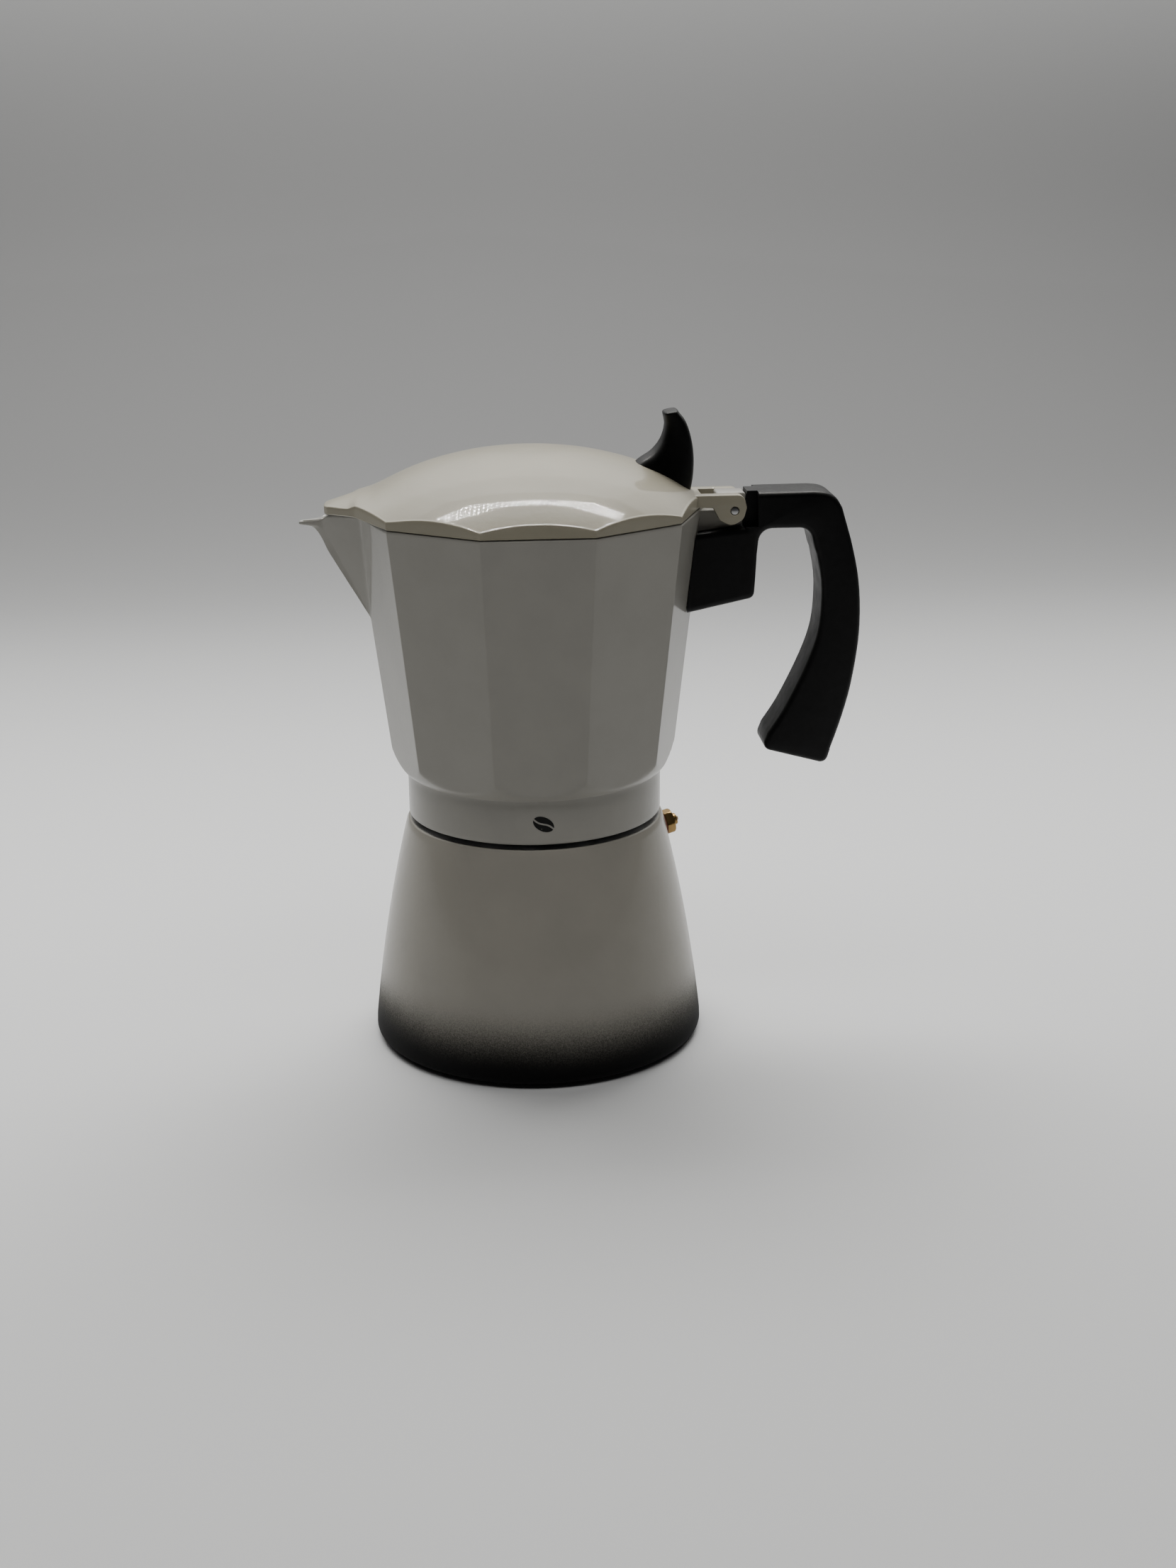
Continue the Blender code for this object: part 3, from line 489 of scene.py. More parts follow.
def add_jug(add, theta):
    """Adds the jug's rows: its floor, up the inside with the channel, over the rim and down outside."""
    rim = rim_height(theta)
    spout, channel = spout_table(theta, False), spout_table(theta, True)

    def inner_radius(z):
        share = np.clip((z - JUG_FLOOR_Z) / (RIM_Z - JUG_FLOOR_Z), 0, 1)
        bore = JUG_BORE_BOTTOM_R + (JUG_BORE_TOP_R - JUG_BORE_BOTTOM_R) * share
        return smooth_max(bore, channel(z), 0.6)

    def outer_radius(z):
        return smooth_max(jug_radius(theta, z), spout(z), 0.06)

    floor_round = 4
    for r in (COLUMN_HOLE_R, 12, 20, 28):
        add(r, JUG_FLOOR_Z, 1)
    for turn in np.radians(range(0, 91, 15)):
        add(JUG_BORE_BOTTOM_R - floor_round + floor_round * math.sin(turn),
            JUG_FLOOR_Z + floor_round - floor_round * math.cos(turn), 1)
    shares = np.concatenate([np.linspace(0.05, 0.9, 40), np.linspace(0.915, 0.985, 12)])
    for share in shares:
        z = JUG_FLOOR_Z + floor_round + (rim - RIM_ROUND - JUG_FLOOR_Z - floor_round) * share
        add(inner_radius(z), z, 1)
    top_in = inner_radius(rim - RIM_ROUND)
    top_out = outer_radius(rim - RIM_ROUND)
    for turn in np.radians((0, 30, 60, 90)):
        add(top_in + RIM_ROUND * (1 - math.cos(turn)), rim - RIM_ROUND * (1 - math.sin(turn)), 0)
    for turn in np.radians((90, 60, 30, 0)):
        add(top_out - RIM_ROUND * (1 - math.cos(turn)), rim - RIM_ROUND * (1 - math.sin(turn)), 0)
    heights = np.concatenate([np.linspace(0.005, 0.1, 14), np.linspace(0.115, 0.96, 56),
                              np.linspace(0.965, 1.0, 8)])
    roll_top = COLLAR_TOP_Z + 1.6
    for share in heights:
        z = rim - RIM_ROUND - (rim - RIM_ROUND - roll_top) * share
        add(outer_radius(z), z, 0)
    for z in (90.0, 89.6, 89.25):
        add(jug_radius(theta, z), z, 0)


def add_collar(add, theta):
    """Adds the collar's rows: down its outside, up its threaded bore and in below the jug's floor."""
    collar_round = 0.5
    add(COLLAR_R + 0.5, COLLAR_TOP_Z, 0)
    add(COLLAR_R + 0.1, COLLAR_TOP_Z - 0.15, 0)
    for z in np.linspace(COLLAR_TOP_Z - 0.5, COLLAR_BOTTOM_Z + 0.6, 10):
        add(COLLAR_R, z, 0)
    for turn in np.radians((30, 60, 90)):
        add(COLLAR_R - collar_round * (1 - math.cos(turn)),
            COLLAR_BOTTOM_Z + collar_round * (1 - math.sin(turn)), 0)
    add(COLLAR_BORE_R + 0.9, COLLAR_BOTTOM_Z, 1)
    for z in np.arange(COLLAR_BOTTOM_Z + 0.9, 91.6, 0.42):
        add(COLLAR_BORE_R - thread_wave(theta, z, 77.5, 90.5), z, 1)
    for r, z in ((COLLAR_BORE_R, 93.2), (COLLAR_BORE_R - 0.6, CEILING_Z), (33.0, CEILING_Z),
                 (26.8, CEILING_Z), (26.2, 94.4), (7.4, 96.0), (COLUMN_HOLE_R, 96.0)):
        add(r, z, 1)


def make_collector(paint, metal):
    """Painted jug with its spout, collar and hinge lug, bare metal inside."""
    theta = jug_angles()
    rows, slots, add = row_lists(theta)
    add_jug(add, theta)
    add_collar(add, theta)
    obj = dress(grid_mesh("collector_shell", rows, loop=True, slots=slots, sharp=50), paint, metal)
    outline = rounded([(49.5, 162.5, 0), (65.0, 164.6, 1.0), (66.2, BRACKET_TOP_Z, 0.8),
                       (57.2, BRACKET_TOP_Z, 0.7), (57.2, 169.4, 0), (49.5, 169.4, 0)])
    combine(obj, dress(plate("lug", outline, LUG_HALF, 0.35, 2), paint), "UNION")
    place(obj, "collector", "collector")


def spout_table(theta, inner):
    """Returns the spout's radius as a function of height, from levels worked out once."""
    step = 0.2
    levels = np.arange(APEX_Z - 1, SPOUT_TOP_Z + 2 * step, step)
    table = np.array([spout_radius(theta, float(z), inner) for z in levels])
    columns = np.arange(len(theta))

    def radius(z):
        place_in = np.clip((np.broadcast_to(z, theta.shape) - levels[0]) / step, 0, len(levels) - 1.001)
        low = place_in.astype(int)
        share = place_in - low
        return table[low, columns] * (1 - share) + table[low + 1, columns] * share

    return radius


def make_glyph(ink):
    """Small coffee bean printed on the collar, where pots often carry a mark."""
    centre_angle, centre_z, half_w, half_h = math.radians(-89), 81.6, 3.4, 2.2
    split_bow, split_half = 0.32, 0.28
    lean = math.radians(-28)
    bm = bmesh.new()
    for side in (-1, 1):
        outline = []
        for c, s in circle(1.0, 32):
            x, z = half_w * c, half_h * s
            split = split_bow * math.sin(math.pi * x / half_w) + side * split_half
            z = max(z, split) if side > 0 else min(z, split)
            outline.append((x * math.cos(lean) - z * math.sin(lean),
                            x * math.sin(lean) + z * math.cos(lean)))
        front, back = [], []
        for x, z in outline:
            angle = centre_angle + x / COLLAR_R
            for r, ring in ((COLLAR_R + 0.05, front), (COLLAR_R - 0.3, back)):
                ring.append(bm.verts.new((r * math.cos(angle), r * math.sin(angle), centre_z + z)))
        bm.faces.new(front)
        bm.faces.new(back)
        for i in range(len(front)):
            j = (i + 1) % len(front)
            bm.faces.new((front[i], front[j], back[j], back[i]))
    bmesh.ops.remove_doubles(bm, verts=bm.verts, dist=0.001)
    obj = dress(finish_mesh("collar_glyph", bm, 30), ink)
    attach(obj, "collector")


# -------- boiler and valve

def make_boiler(paint, metal):
    """Boiler, painted outside and bare inside, with its thread and rounded shoulder."""
    sides = 160
    theta = np.arange(sides) * math.tau / sides
    rows, slots, add = row_lists(theta)
    inside = rounded([(4.0, 5.6, 0), (boiler_radius(6) - BOILER_WALL, 5.6, 5), (46.5, 34, 0),
                      (boiler_radius(66) - BOILER_WALL, 66, 4), (NECK_BORE_R, 72.5, 3),
                      (NECK_BORE_R, NECK_TOP_Z, 0.5), (NECK_R, NECK_TOP_Z, 0.5), (NECK_R, 87.0, 0)],
                     closed=False)
    for r, z in inside:
        add(r, z, 1)
    for z in np.arange(86.8, 75.0, -0.4):
        add(NECK_R + thread_wave(theta, z, 76.0, 86.4), z, 1)
    shoulder = rounded([(NECK_R, 74.6, 0), (NECK_R, 73.3, 0.6), (40.2, 73.3, 0.8),
                        (boiler_radius(71.6), 71.6, 0)], steps=6, closed=False)
    for r, z in shoulder:
        add(r, z, 0 if r > 39.5 else 1)
    for z in np.linspace(70.8, BELLY_Z + 1, 56):
        add(boiler_radius(z), z, 0)
    foot = rounded([(boiler_radius(5.5), 5.5, 0), (BELLY_R + 0.1, 1.4, 3.4), (DISC_R + 0.5, 1.4, 0.3),
                    (DISC_R + 0.5, 2.1, 0), (4.0, 2.1, 0)], steps=8, closed=False)
    for r, z in foot:
        add(r, z, 0)
    obj = grid_mesh("boiler_shell", rows, slots=slots, sharp=50)
    close_ends(obj)
    place(dress(obj, paint, metal), "boiler", "boiler")


def close_ends(obj):
    """Fills the flat round openings left at a grid's first and last rows."""
    bm = bmesh.new()
    bm.from_mesh(obj.data)
    bmesh.ops.holes_fill(bm, edges=[e for e in bm.edges if e.is_boundary], sides=0)
    bmesh.ops.recalc_face_normals(bm, faces=bm.faces)
    bm.to_mesh(obj.data)
    bm.free()


def make_disc(metal):
    """Turned steel disc in the base, with fine rings."""
    edge, groove_half, groove_depth = 0.4, 0.3, 0.18
    profile = [(0.0, DISC_THICK), (DISC_R, DISC_THICK), (DISC_R, edge), (DISC_R - edge, 0.0)]
    for r in np.arange(44.0, 4.0, -4.0):
        profile += [(r, 0.0), (r - groove_half, groove_depth), (r - 2 * groove_half, 0.0)]
    obj = turned("base_plate", profile + [(0.0, 0.0)])
    place(dress(obj, metal), "boiler", "base_disc")


def valve_matrix():
    """Placement of the valve: local +Z is its axis, outward, from the boiler's surface."""
    lean = math.atan((boiler_radius(VALVE_Z - 1) - boiler_radius(VALVE_Z + 1)) / 2)
    around = Matrix.Rotation(math.radians(VALVE_AZIMUTH), 4, "Z")
    out = Matrix.Translation((boiler_radius(VALVE_Z) * MM, 0, VALVE_Z * MM))
    return around @ out @ Matrix.Rotation(math.radians(90) - lean, 4, "Y")


def make_valve(brass):
    """Valve's brass body: hexagon with chamfered corners, shank and bore. The cap is the frame's."""
    sides, corner_r = 72, VALVE_HALF_FLATS * 1.135
    shank_low, hexagon_low, bore_floor = -6.0, 0.95, 2.6
    rows = [level_ring(VALVE_SHANK_R, z, sides) for z in (shank_low, hexagon_low)]
    for z, chamfer in ((hexagon_low, 0.0), (3.0, 0.0), (3.35, 0.12), (VALVE_FACE_Z, 0.42)):
        row = []
        for k in range(sides):
            turn = math.tau * k / sides
            from_flat = (turn + math.radians(30)) % math.radians(60) - math.radians(30)
            r = min(VALVE_HALF_FLATS / math.cos(from_flat), corner_r - chamfer)
            row.append((r * math.cos(turn), r * math.sin(turn), z))
        rows.append(row)
    bore = [(VALVE_BORE_R, VALVE_FACE_Z), (VALVE_BORE_R, bore_floor),
            (VALVE_SEAT_R, bore_floor), (VALVE_SEAT_R, shank_low)]
    rows += [level_ring(r, z, sides) for r, z in bore]
    obj = dress(grid_mesh("valve_hexagon", rows, loop=True, sharp=30), brass)
    obj.matrix_world = valve_matrix()
    place(obj, "boiler", "valve_body")


# -------- lid

def lid_corners():
    """Lid's outline from above, from the beak's tip round to it again."""
    corners = [(RIM_R * math.cos(math.radians(a)), RIM_R * math.sin(math.radians(a)))
               for a in range(-144, 145, 36)]
    tip = (BEAK_X, 0.0)
    beak = [(-52.8, BEAK_HALF), (-61.4, 5.9), (-62.4, 3.6)]
    lower = [(x, -y) for x, y in reversed(beak)]
    return [tip, *lower, *corners, *beak, tip]


def beak_height(x, y):
    """Height of the beak's crowned top."""
    ridge = curve_through([-63, -61.9, -56.7, -53, -49, -45, -38],
                          [172.8, 173.5, 175.3, 176.3, 177.3, 178.7, 181.0])
    curl = curve_through([-63, -58.4, -55.1, -52.1, -45], [0.010, 0.0150, 0.0122, 0.0056, 0.0050])
    y = np.abs(y)
    past = np.maximum(y - BEAK_HALF, 0)
    return ridge(x) - curl(x) * np.minimum(y, BEAK_HALF) ** 2 - 0.16 * past - 0.012 * past ** 2


def lid_top(x, y):
    """Height of the lid's upper surface."""
    dome = dome_height(np.hypot(x, y))
    lifted = smooth_max(dome, beak_height(x, y), 1.6)
    return np.where(x < -30, lifted, dome)


def lid_rows(theta):
    """Rows of the lid's shell from its top round the skirt to its hollow, and how many are painted."""
    edge = polar_outline(theta, lid_corners())
    edge = np.where(edge > 0, edge, np.abs(BEAK_X))
    top = lid_top((edge - LID_LIP) * np.cos(theta), (edge - LID_LIP) * np.sin(theta))
    from_beak = np.abs(np.degrees(theta) - 180)
    bottom = LID_Z + np.interp(from_beak, [0, 13.7, 24, 36], [0.2, 1.1, 0.6, 0])
    chamfer = 0.25

    rows = [[(0.0, 0.0, float(dome_height(0.0)))]]
    for share in [*np.linspace(0.04, 0.7, 22), *np.linspace(0.72, 0.985, 30)]:
        r = share * edge
        rows.append(level_row(theta, r, lid_top(r * np.cos(theta), r * np.sin(theta))))
    for turn in np.radians((90, 60, 30, 0)):
        rows.append(level_row(theta, edge - LID_LIP + LID_LIP * math.cos(turn),
                              top - LID_LIP + LID_LIP * math.sin(turn)))
    for share in (0.33, 0.66, 1.0):
        rows.append(level_row(theta, edge, (top - LID_LIP) * (1 - share) + (bottom + chamfer) * share))
    painted = len(rows)
    for r in (edge - chamfer, LID_BORE_R):
        rows.append(level_row(theta, r, bottom))
    for r, z in [(46.8, 171.5), (45.6, 173.6), (43.4, 176.6), (40.0, 178.9), (35.0, 181.0),
                 (30.0, 182.7), (24.0, 184.2), (18.0, 185.4), (12.0, 186.3), (6.0, 186.8)]:
        rows.append(level_row(theta, r, z))
    rows.append([(0.0, 0.0, 187.0)])
    return rows, painted


def make_lid(paint, metal):
    """Domed lid with a scalloped skirt, a beak and the two hinge ears."""
    rows, painted = lid_rows(jug_angles())
    slots = [0] * painted + [1] * (len(rows) - painted)
    obj = dress(grid_mesh("lid_shell", rows, slots=slots, sharp=45), paint, metal)

    root_x = 47.6
    outline = rounded([(root_x, BRACKET_TOP_Z, 0), (root_x, 171.0, 0), (55.6, 170.7, 0.8),
                       (57.6, 166.9, 1.6), (61.2, 165.0, 3.4), (65.0, 167.0, 3.2), (65.9, 170.6, 2.2),
                       (65.0, 174.6, 3.2)], steps=6)
    pin_hole = circle(PIN_R + 0.15, 24, (PIN_X, PIN_Z))
    for side in (-1, 1):
        ear = dress(plate("ear", outline, (EAR_OUTER - EAR_INNER) / 2, 0.3, 2, [pin_hole]), paint)
        ear.location.y = side * (EAR_OUTER + EAR_INNER) / 2 * MM
        combine(obj, ear, "UNION")
    root = box("root", (root_x, -6.0, LID_Z + 0.5), (52.2, 6.0, BRACKET_TOP_Z - 0.02))
    combine(obj, dress(root, paint), "UNION")
    place(obj, "lid", "lid")


def make_pin(metal):
    """Hinge pin with slightly domed ends."""
    half, edge_z, edge = 8.75, 8.6, 0.25
    profile = rounded([(0.0, half, 0), (PIN_R, edge_z, edge), (PIN_R, -edge_z, edge), (0.0, -half, 0)],
                      closed=False)
    obj = dress(turned("pin", profile, 32), metal)
    obj.matrix_world = (Matrix.Translation((PIN_X * MM, 0, PIN_Z * MM))
                        @ Matrix.Rotation(math.radians(90), 4, "X"))
    place(obj, "collector", "hinge_pin")


# -------- knob

def make_knob(plastic):
    """Fin-shaped knob: hollow front edge, full back edge and a small flat top, rounded all over."""
    front = smooth_outline([(31.0, 182.6), (33.6, 184.9), (37.4, 187.4), (40.2, 190.8), (41.5, 195.0),
                            (41.0, 198.6)], 8)
    back = smooth_outline([(49.0, 173.6), (50.1, 179.4), (50.35, 185.2), (49.6, 191.0), (47.9, 196.2),
                           (45.6, 199.3)], 8)
    foot_half, top_half, waist = 7.1, 5.4, 0.5
    rings = []
    for i, (f, b) in enumerate(zip(front, back)):
        share = i / (len(front) - 1)
        half_width = foot_half - 1.7 * share - waist * math.sin(math.pi * share)
        rings.append(on_dome(knob_ring(f, b, half_width)))
    f, b = np.array(front[-1]), np.array(back[-1])
    up = np.array([-(b - f)[1], (b - f)[0]]) / np.linalg.norm(b - f)
    for lift, size in ((0.35, 0.97), (0.6, 0.88), (0.75, 0.7), (0.8, 0.4)):
        middle, half_length = (f + b) / 2 + up * lift, (f - b) / 2 * size
        rings.append(knob_ring(middle + half_length, middle - half_length, top_half * size))
    centre = (f + b) / 2 + up * 0.82
    bottom = (np.array(front[0]) + np.array(back[0])) / 2
    rows = [on_dome([(bottom[0], 0.0, bottom[1])])] + rings + [[(centre[0], 0.0, centre[1])]]
    obj = dress(grid_mesh("knob_fin", rows, sharp=60), plastic)
    place(obj, "lid", "knob")


def on_dome(ring):
    """Lifts a ring of the knob where it would come through the lid."""
    return [(x, y, max(z, float(dome_height(math.hypot(x, y))) - KNOB_SINK)) for x, y, z in ring]


def knob_ring(front, back, half_width):
    """One cross-section of the knob: a rounded oblong from its front to its back edge."""
    front, back = np.array(front, float), np.array(back, float)
    ring = []
    for c, s in circle(1.0, 40):
        along = math.copysign(abs(c) ** 0.55, c)
        across = math.copysign(abs(s) ** 0.62, s)
        x, z = (front + back) / 2 + (back - front) / 2 * along
        narrow = 1.0 - 0.10 * (1 - along) / 2
        ring.append((x, half_width * across * narrow, z))
    return ring


# -------- handle

def handle_outline():
    """Side outline of the handle."""
    block_front = [(44.0, 162.1), (65.3, 164.3), (66.5, 175.1)]
    corner = smooth_outline([(86.8, 175.2), (90.6, 174.7), (93.6, 172.9), (95.6, 169.8)], 4)
    back = smooth_outline([(98.6, 159.8), (100.8, 150.3), (101.9, 140.6), (101.9, 130.1),
                           (100.8, 120.3), (99.0, 110.5), (96.2, 100.6), (93.6, 93.0)], 3)
    toe = rounded([(93.6, 92.6, 0), (92.2, 88.1, 2.4), (71.6, 93.7, 2.4), (73.6, 98.9, 0)],
                  closed=False)
    inside = smooth_outline([(74.2, 99.8), (78.2, 106.0), (82.8, 115.1), (86.6, 123.9), (88.8, 131.3),
                             (89.6, 139.4), (89.4, 147.4), (87.9, 155.5)], 3)
    throat = rounded([(87.2, 157.4, 0), (85.6, 163.8, 4.6), (70.2, 163.8, 4.4), (69.4, 156.0, 0)],
                     steps=7, closed=False)
    block_bottom = rounded([(69.0, 148.0, 0), (68.6, 142.4, 2.2), (44.0, 137.2, 0)], closed=False)
    return block_front + corner + back + toe + inside + throat + block_bottom


def make_handle(plastic):
    """Moulded handle, its block cut to the jug's facets and narrowed to a tongue behind the hinge."""
    obj = plate("handle_grip", handle_outline(), HANDLE_HALF, HANDLE_BEVEL, 4)
    theta = np.radians(np.arange(0, 360, FACET_ANGLE))
    low, high, gap = 125.0, 185.0, 0.35
    seat_rows = [level_row(theta, corner_radius(z) + gap, z) for z in (low, high)]
    seat = grid_mesh("seat", [[(0, 0, low)], *seat_rows, [(0, 0, high)]])
    combine(obj, seat, "DIFFERENCE")
    for side in (-1, 1):
        inner, outer = sorted((side * TONGUE_HALF, side * 12))
        relief = box("relief", (60, inner, 164.4), (TONGUE_END_X, outer, 180))
        combine(obj, relief, "DIFFERENCE")
    place(dress(obj, plastic), "collector", "handle")


# -------- inner pieces

def make_funnel(metal):
    """Spun funnel with a rolled rim."""
    profile = rounded([(34.4, 89.3, 0.3), (34.4, 88.3, 0.4), (31.7, 88.3, 0.6), (31.7, 68.0, 2.0),
                       (7.4, 60.4, 3.0), (5.4, 9.0, 0.2), (4.4, 9.0, 0.2), (6.4, 61.2, 3.0),
                       (30.7, 68.4, 1.4), (30.7, 89.3, 0.6)], steps=4)
    place(dress(turned("funnel_bowl", profile, 96), metal), "funnel", "funnel")


def perforated(name, radius, z_low, z_high, rings, spacing, hole_r, metal):
    """Disc with rings of fine holes right through."""
    holes = [circle(hole_r, 8)]
    for ring in range(1, rings + 1):
        for centre in circle(spacing * ring, 6 * ring):
            holes.append(circle(hole_r, 8, centre))
    obj = plate(name, circle(radius, 96), (z_high - z_low) / 2, holes=holes)
    obj.data.transform(Matrix.Rotation(math.radians(-90), 4, "X"))
    obj.data.transform(Matrix.Translation((0, 0, (z_low + z_high) / 2 * MM)))
    return dress(obj, metal)


def make_sieves_and_seal(metal, silicone):
    """Funnel's sieve, the filter plate and the seal ring."""
    screen = perforated("funnel_sieve", 30.2, 69.0, 69.7, 9, 3.05, 0.55, metal)
    place(screen, "funnel", "funnel_screen")
    upper = perforated("upper_filter", 30.6, 92.7, 93.5, 10, 2.75, 0.45, metal)
    place(upper, "filter_plate", "filter_plate")
    profile = rounded([(33.4, 89.7, 0.5), (27.6, 89.7, 0.5), (27.6, 92.3, 0.5), (33.4, 92.3, 0.5)],
                      steps=4)
    place(dress(turned("seal_ring", profile, 96), silicone), "gasket", "gasket")


def make_column(metal):
    """Riser column with its dished top and two side slots."""
    profile = rounded([(0.0, 150.0, 0), (4.4, 150.0, 0.9), (5.2, 99.5, 0), (5.2, 94.6, 0.2),
                       (3.2, 94.6, 0.2), (3.2, 147.8, 0), (0.0, 147.8, 0)], closed=False)
    obj = turned("column", profile, 48)
    combine(obj, box("slot", (-1.6, -8, 142.0), (1.6, 8, 147.0)), "DIFFERENCE")
    place(dress(obj, metal), "collector", "riser_column")


# -------- materials

class Surface:
    """Small helper that builds one Principled material from nodes."""

    def __init__(self, name, colour, roughness, metallic=0.0):
        self.material = bpy.data.materials.new(name)
        self.material.use_nodes = True
        self.tree = self.material.node_tree
        self.shader = self.tree.nodes["Principled BSDF"]
        self.put("Base Color", (*colour, 1.0))
        self.put("Roughness", roughness)
        self.put("Metallic", metallic)
        self.coords = self.tree.nodes.new("ShaderNodeTexCoord")
        self.last_normal = None

    def node(self, kind, **settings):
        """Adds a node, setting attributes by name and inputs by a name with spaces as underscores."""
        node = self.tree.nodes.new(kind)
        for name, value in settings.items():
            if hasattr(node, name):
                setattr(node, name, value)
            else:
                node.inputs[name.replace("_", " ")].default_value = value
        return node

    def link(self, output, target):
        """Links an output socket to an input socket."""
        self.tree.links.new(output, target)

    def put(self, name, value):
        """Links a socket to one of the shader's inputs, or sets the input to a number or colour."""
        if isinstance(value, bpy.types.NodeSocket):
            self.link(value, self.shader.inputs[name])
        else:
            self.shader.inputs[name].default_value = value

    def noise(self, scale, detail=2.0, rough=0.5):
        """Noise in the row frame, with its scale per metre."""
        node = self.node("ShaderNodeTexNoise", Scale=scale, Detail=detail, Roughness=rough)
        self.link(self.coords.outputs["Object"], node.inputs["Vector"])
        return node.outputs["Fac"]

    def remap(self, value, low, high, to_low=0.0, to_high=1.0):
        """Maps a range of values to another, smoothly and clamped."""
        node = self.node("ShaderNodeMapRange", interpolation_type="SMOOTHSTEP")
        for index, number in enumerate((low, high, to_low, to_high)):
            node.inputs[index + 1].default_value = number
        self.link(value, node.inputs[0])
        return node.outputs[0]

    def patches(self, scale, low=0.0, high=1.0):
        """Soft patches between two values, with their scale per metre."""
        return self.remap(self.noise(scale, 3.0), 0.3, 0.7, low, high)

    def math(self, operation, a, b):
        """Adds a Math node; a and b are numbers or sockets."""
        node = self.node("ShaderNodeMath", operation=operation)
        for value, socket in ((a, node.inputs[0]), (b, node.inputs[1])):
            if isinstance(value, float):
                socket.default_value = value
            else:
                self.link(value, socket)
        return node.outputs[0]

    def mix(self, factor, a, b):
        """Mixes two colours; each is a colour or a socket."""
        node = self.node("ShaderNodeMix", data_type="RGBA")
        self.link(factor, node.inputs[0])
        for value, socket in ((a, node.inputs[6]), (b, node.inputs[7])):
            if isinstance(value, tuple):
                socket.default_value = (*value, 1.0)
            else:
                self.link(value, socket)
        return node.outputs[2]

    def bump(self, height, distance):
        """Adds a bump to the shader's normal, on top of any before it."""
        node = self.node("ShaderNodeBump", Strength=1.0, Distance=distance)
        self.link(height, node.inputs["Height"])
        if self.last_normal:
            self.link(self.last_normal, node.inputs["Normal"])
        self.last_normal = node.outputs["Normal"]
        self.put("Normal", self.last_normal)


def paint_surface(name, colour):
    """Glossy sprayed cream paint with a faint orange peel."""
    surface = Surface(name, colour, 0.42)
    surface.put("Specular IOR Level", 0.15)
    surface.put("Coat Weight", COAT)
    surface.put("Coat Roughness", 0.05)
    surface.put("Coat IOR", 1.4)
    deep = tuple(c * 0.945 for c in colour)
    surface.colour = surface.mix(surface.patches(60.0), colour, deep)
    surface.put("Base Color", surface.colour)
    surface.bump(surface.noise(420.0), 0.00004)
    surface.bump(surface.noise(2600.0), 0.000010)
    return surface


def boiler_paint():
    """Cream paint that fades to matt black at the foot through a fine spray of black."""
    surface = paint_surface("boiler_cream", CREAM)
    split = surface.node("ShaderNodeSeparateXYZ")
    surface.link(surface.coords.outputs["Object"], split.inputs[0])
    drift = surface.math("MULTIPLY", surface.math("SUBTRACT", surface.noise(24.0), 0.5), 0.005)
    height = surface.math("ADD", split.outputs["Z"], drift)
    haze = surface.remap(height, 0.0020, 0.0310, 1.0, 0.0)
    grain = surface.math("SUBTRACT", surface.noise(2300.0, 3.0, 0.85), 0.5)
    spray = surface.math("MULTIPLY", grain, 3.6)
    thin = surface.math("MULTIPLY", haze, surface.math("SUBTRACT", 1.0, haze))
    mask = surface.remap(surface.math("ADD", haze, surface.math("MULTIPLY", spray, thin)), 0.0, 1.0)
    surface.put("Base Color", surface.mix(mask, surface.colour, BLACK))
    surface.put("Coat Weight", surface.remap(haze, 0.0, 0.7, COAT, 0.0))
    surface.put("Roughness", surface.remap(mask, 0.0, 1.0, 0.42, 0.7))
    return surface.material


def metal_surface(name, colour, roughness, grain_scale, grain_depth, spread=0.12):
    """Bare metal with fine grain and uneven gloss."""
    surface = Surface(name, colour, roughness, 1.0)
    surface.put("Roughness", surface.patches(grain_scale / 6, roughness - spread, roughness + spread))
    dark = tuple(c * 0.86 for c in colour)
    surface.put("Base Color", surface.mix(surface.patches(90.0), colour, dark))
    surface.bump(surface.noise(grain_scale, 2.0), grain_depth)
    return surface.material


def turned_metal(name, colour, roughness):
    """Metal with fine concentric tool marks."""
    surface = Surface(name, colour, roughness, 1.0)
    rings = surface.node("ShaderNodeTexWave", wave_type="RINGS", rings_direction="Z", Scale=420.0,
                         Distortion=0.6, Detail=1.0)
    surface.link(surface.coords.outputs["Object"], rings.inputs["Vector"])
    surface.bump(rings.outputs["Fac"], 0.000012)
    surface.put("Roughness", surface.patches(150.0, roughness - 0.08, roughness + 0.1))
    return surface.material


def plastic_surface(name):
    """Black moulded plastic with a fine matt grain."""
    surface = Surface(name, BLACK, 0.42)
    surface.put("Specular IOR Level", 0.2)
    surface.put("Roughness", surface.patches(220.0, 0.38, 0.48))
    tone = surface.remap(surface.noise(500.0), 0.3, 0.7)
    surface.put("Base Color", surface.mix(tone, (0.0014, 0.0014, 0.0015), BLACK))
    surface.bump(surface.noise(2600.0), 0.000014)
    return surface.material


def soft_surface(name, colour, roughness):
    """Matt rubber or fibre with a faint mottling."""
    surface = Surface(name, colour, roughness)
    dark = tuple(c * 0.88 for c in colour)
    surface.put("Base Color", surface.mix(surface.patches(300.0), colour, dark))
    surface.bump(surface.noise(1500.0), 0.00001)
    return surface.material


def recolour(frame, nodes, material):
    """Gives frame nodes that stay a finished material."""
    for node in nodes:
        frame["nodes"][node].data.materials.clear()
        dress(frame["nodes"][node], material)


# -------- studio

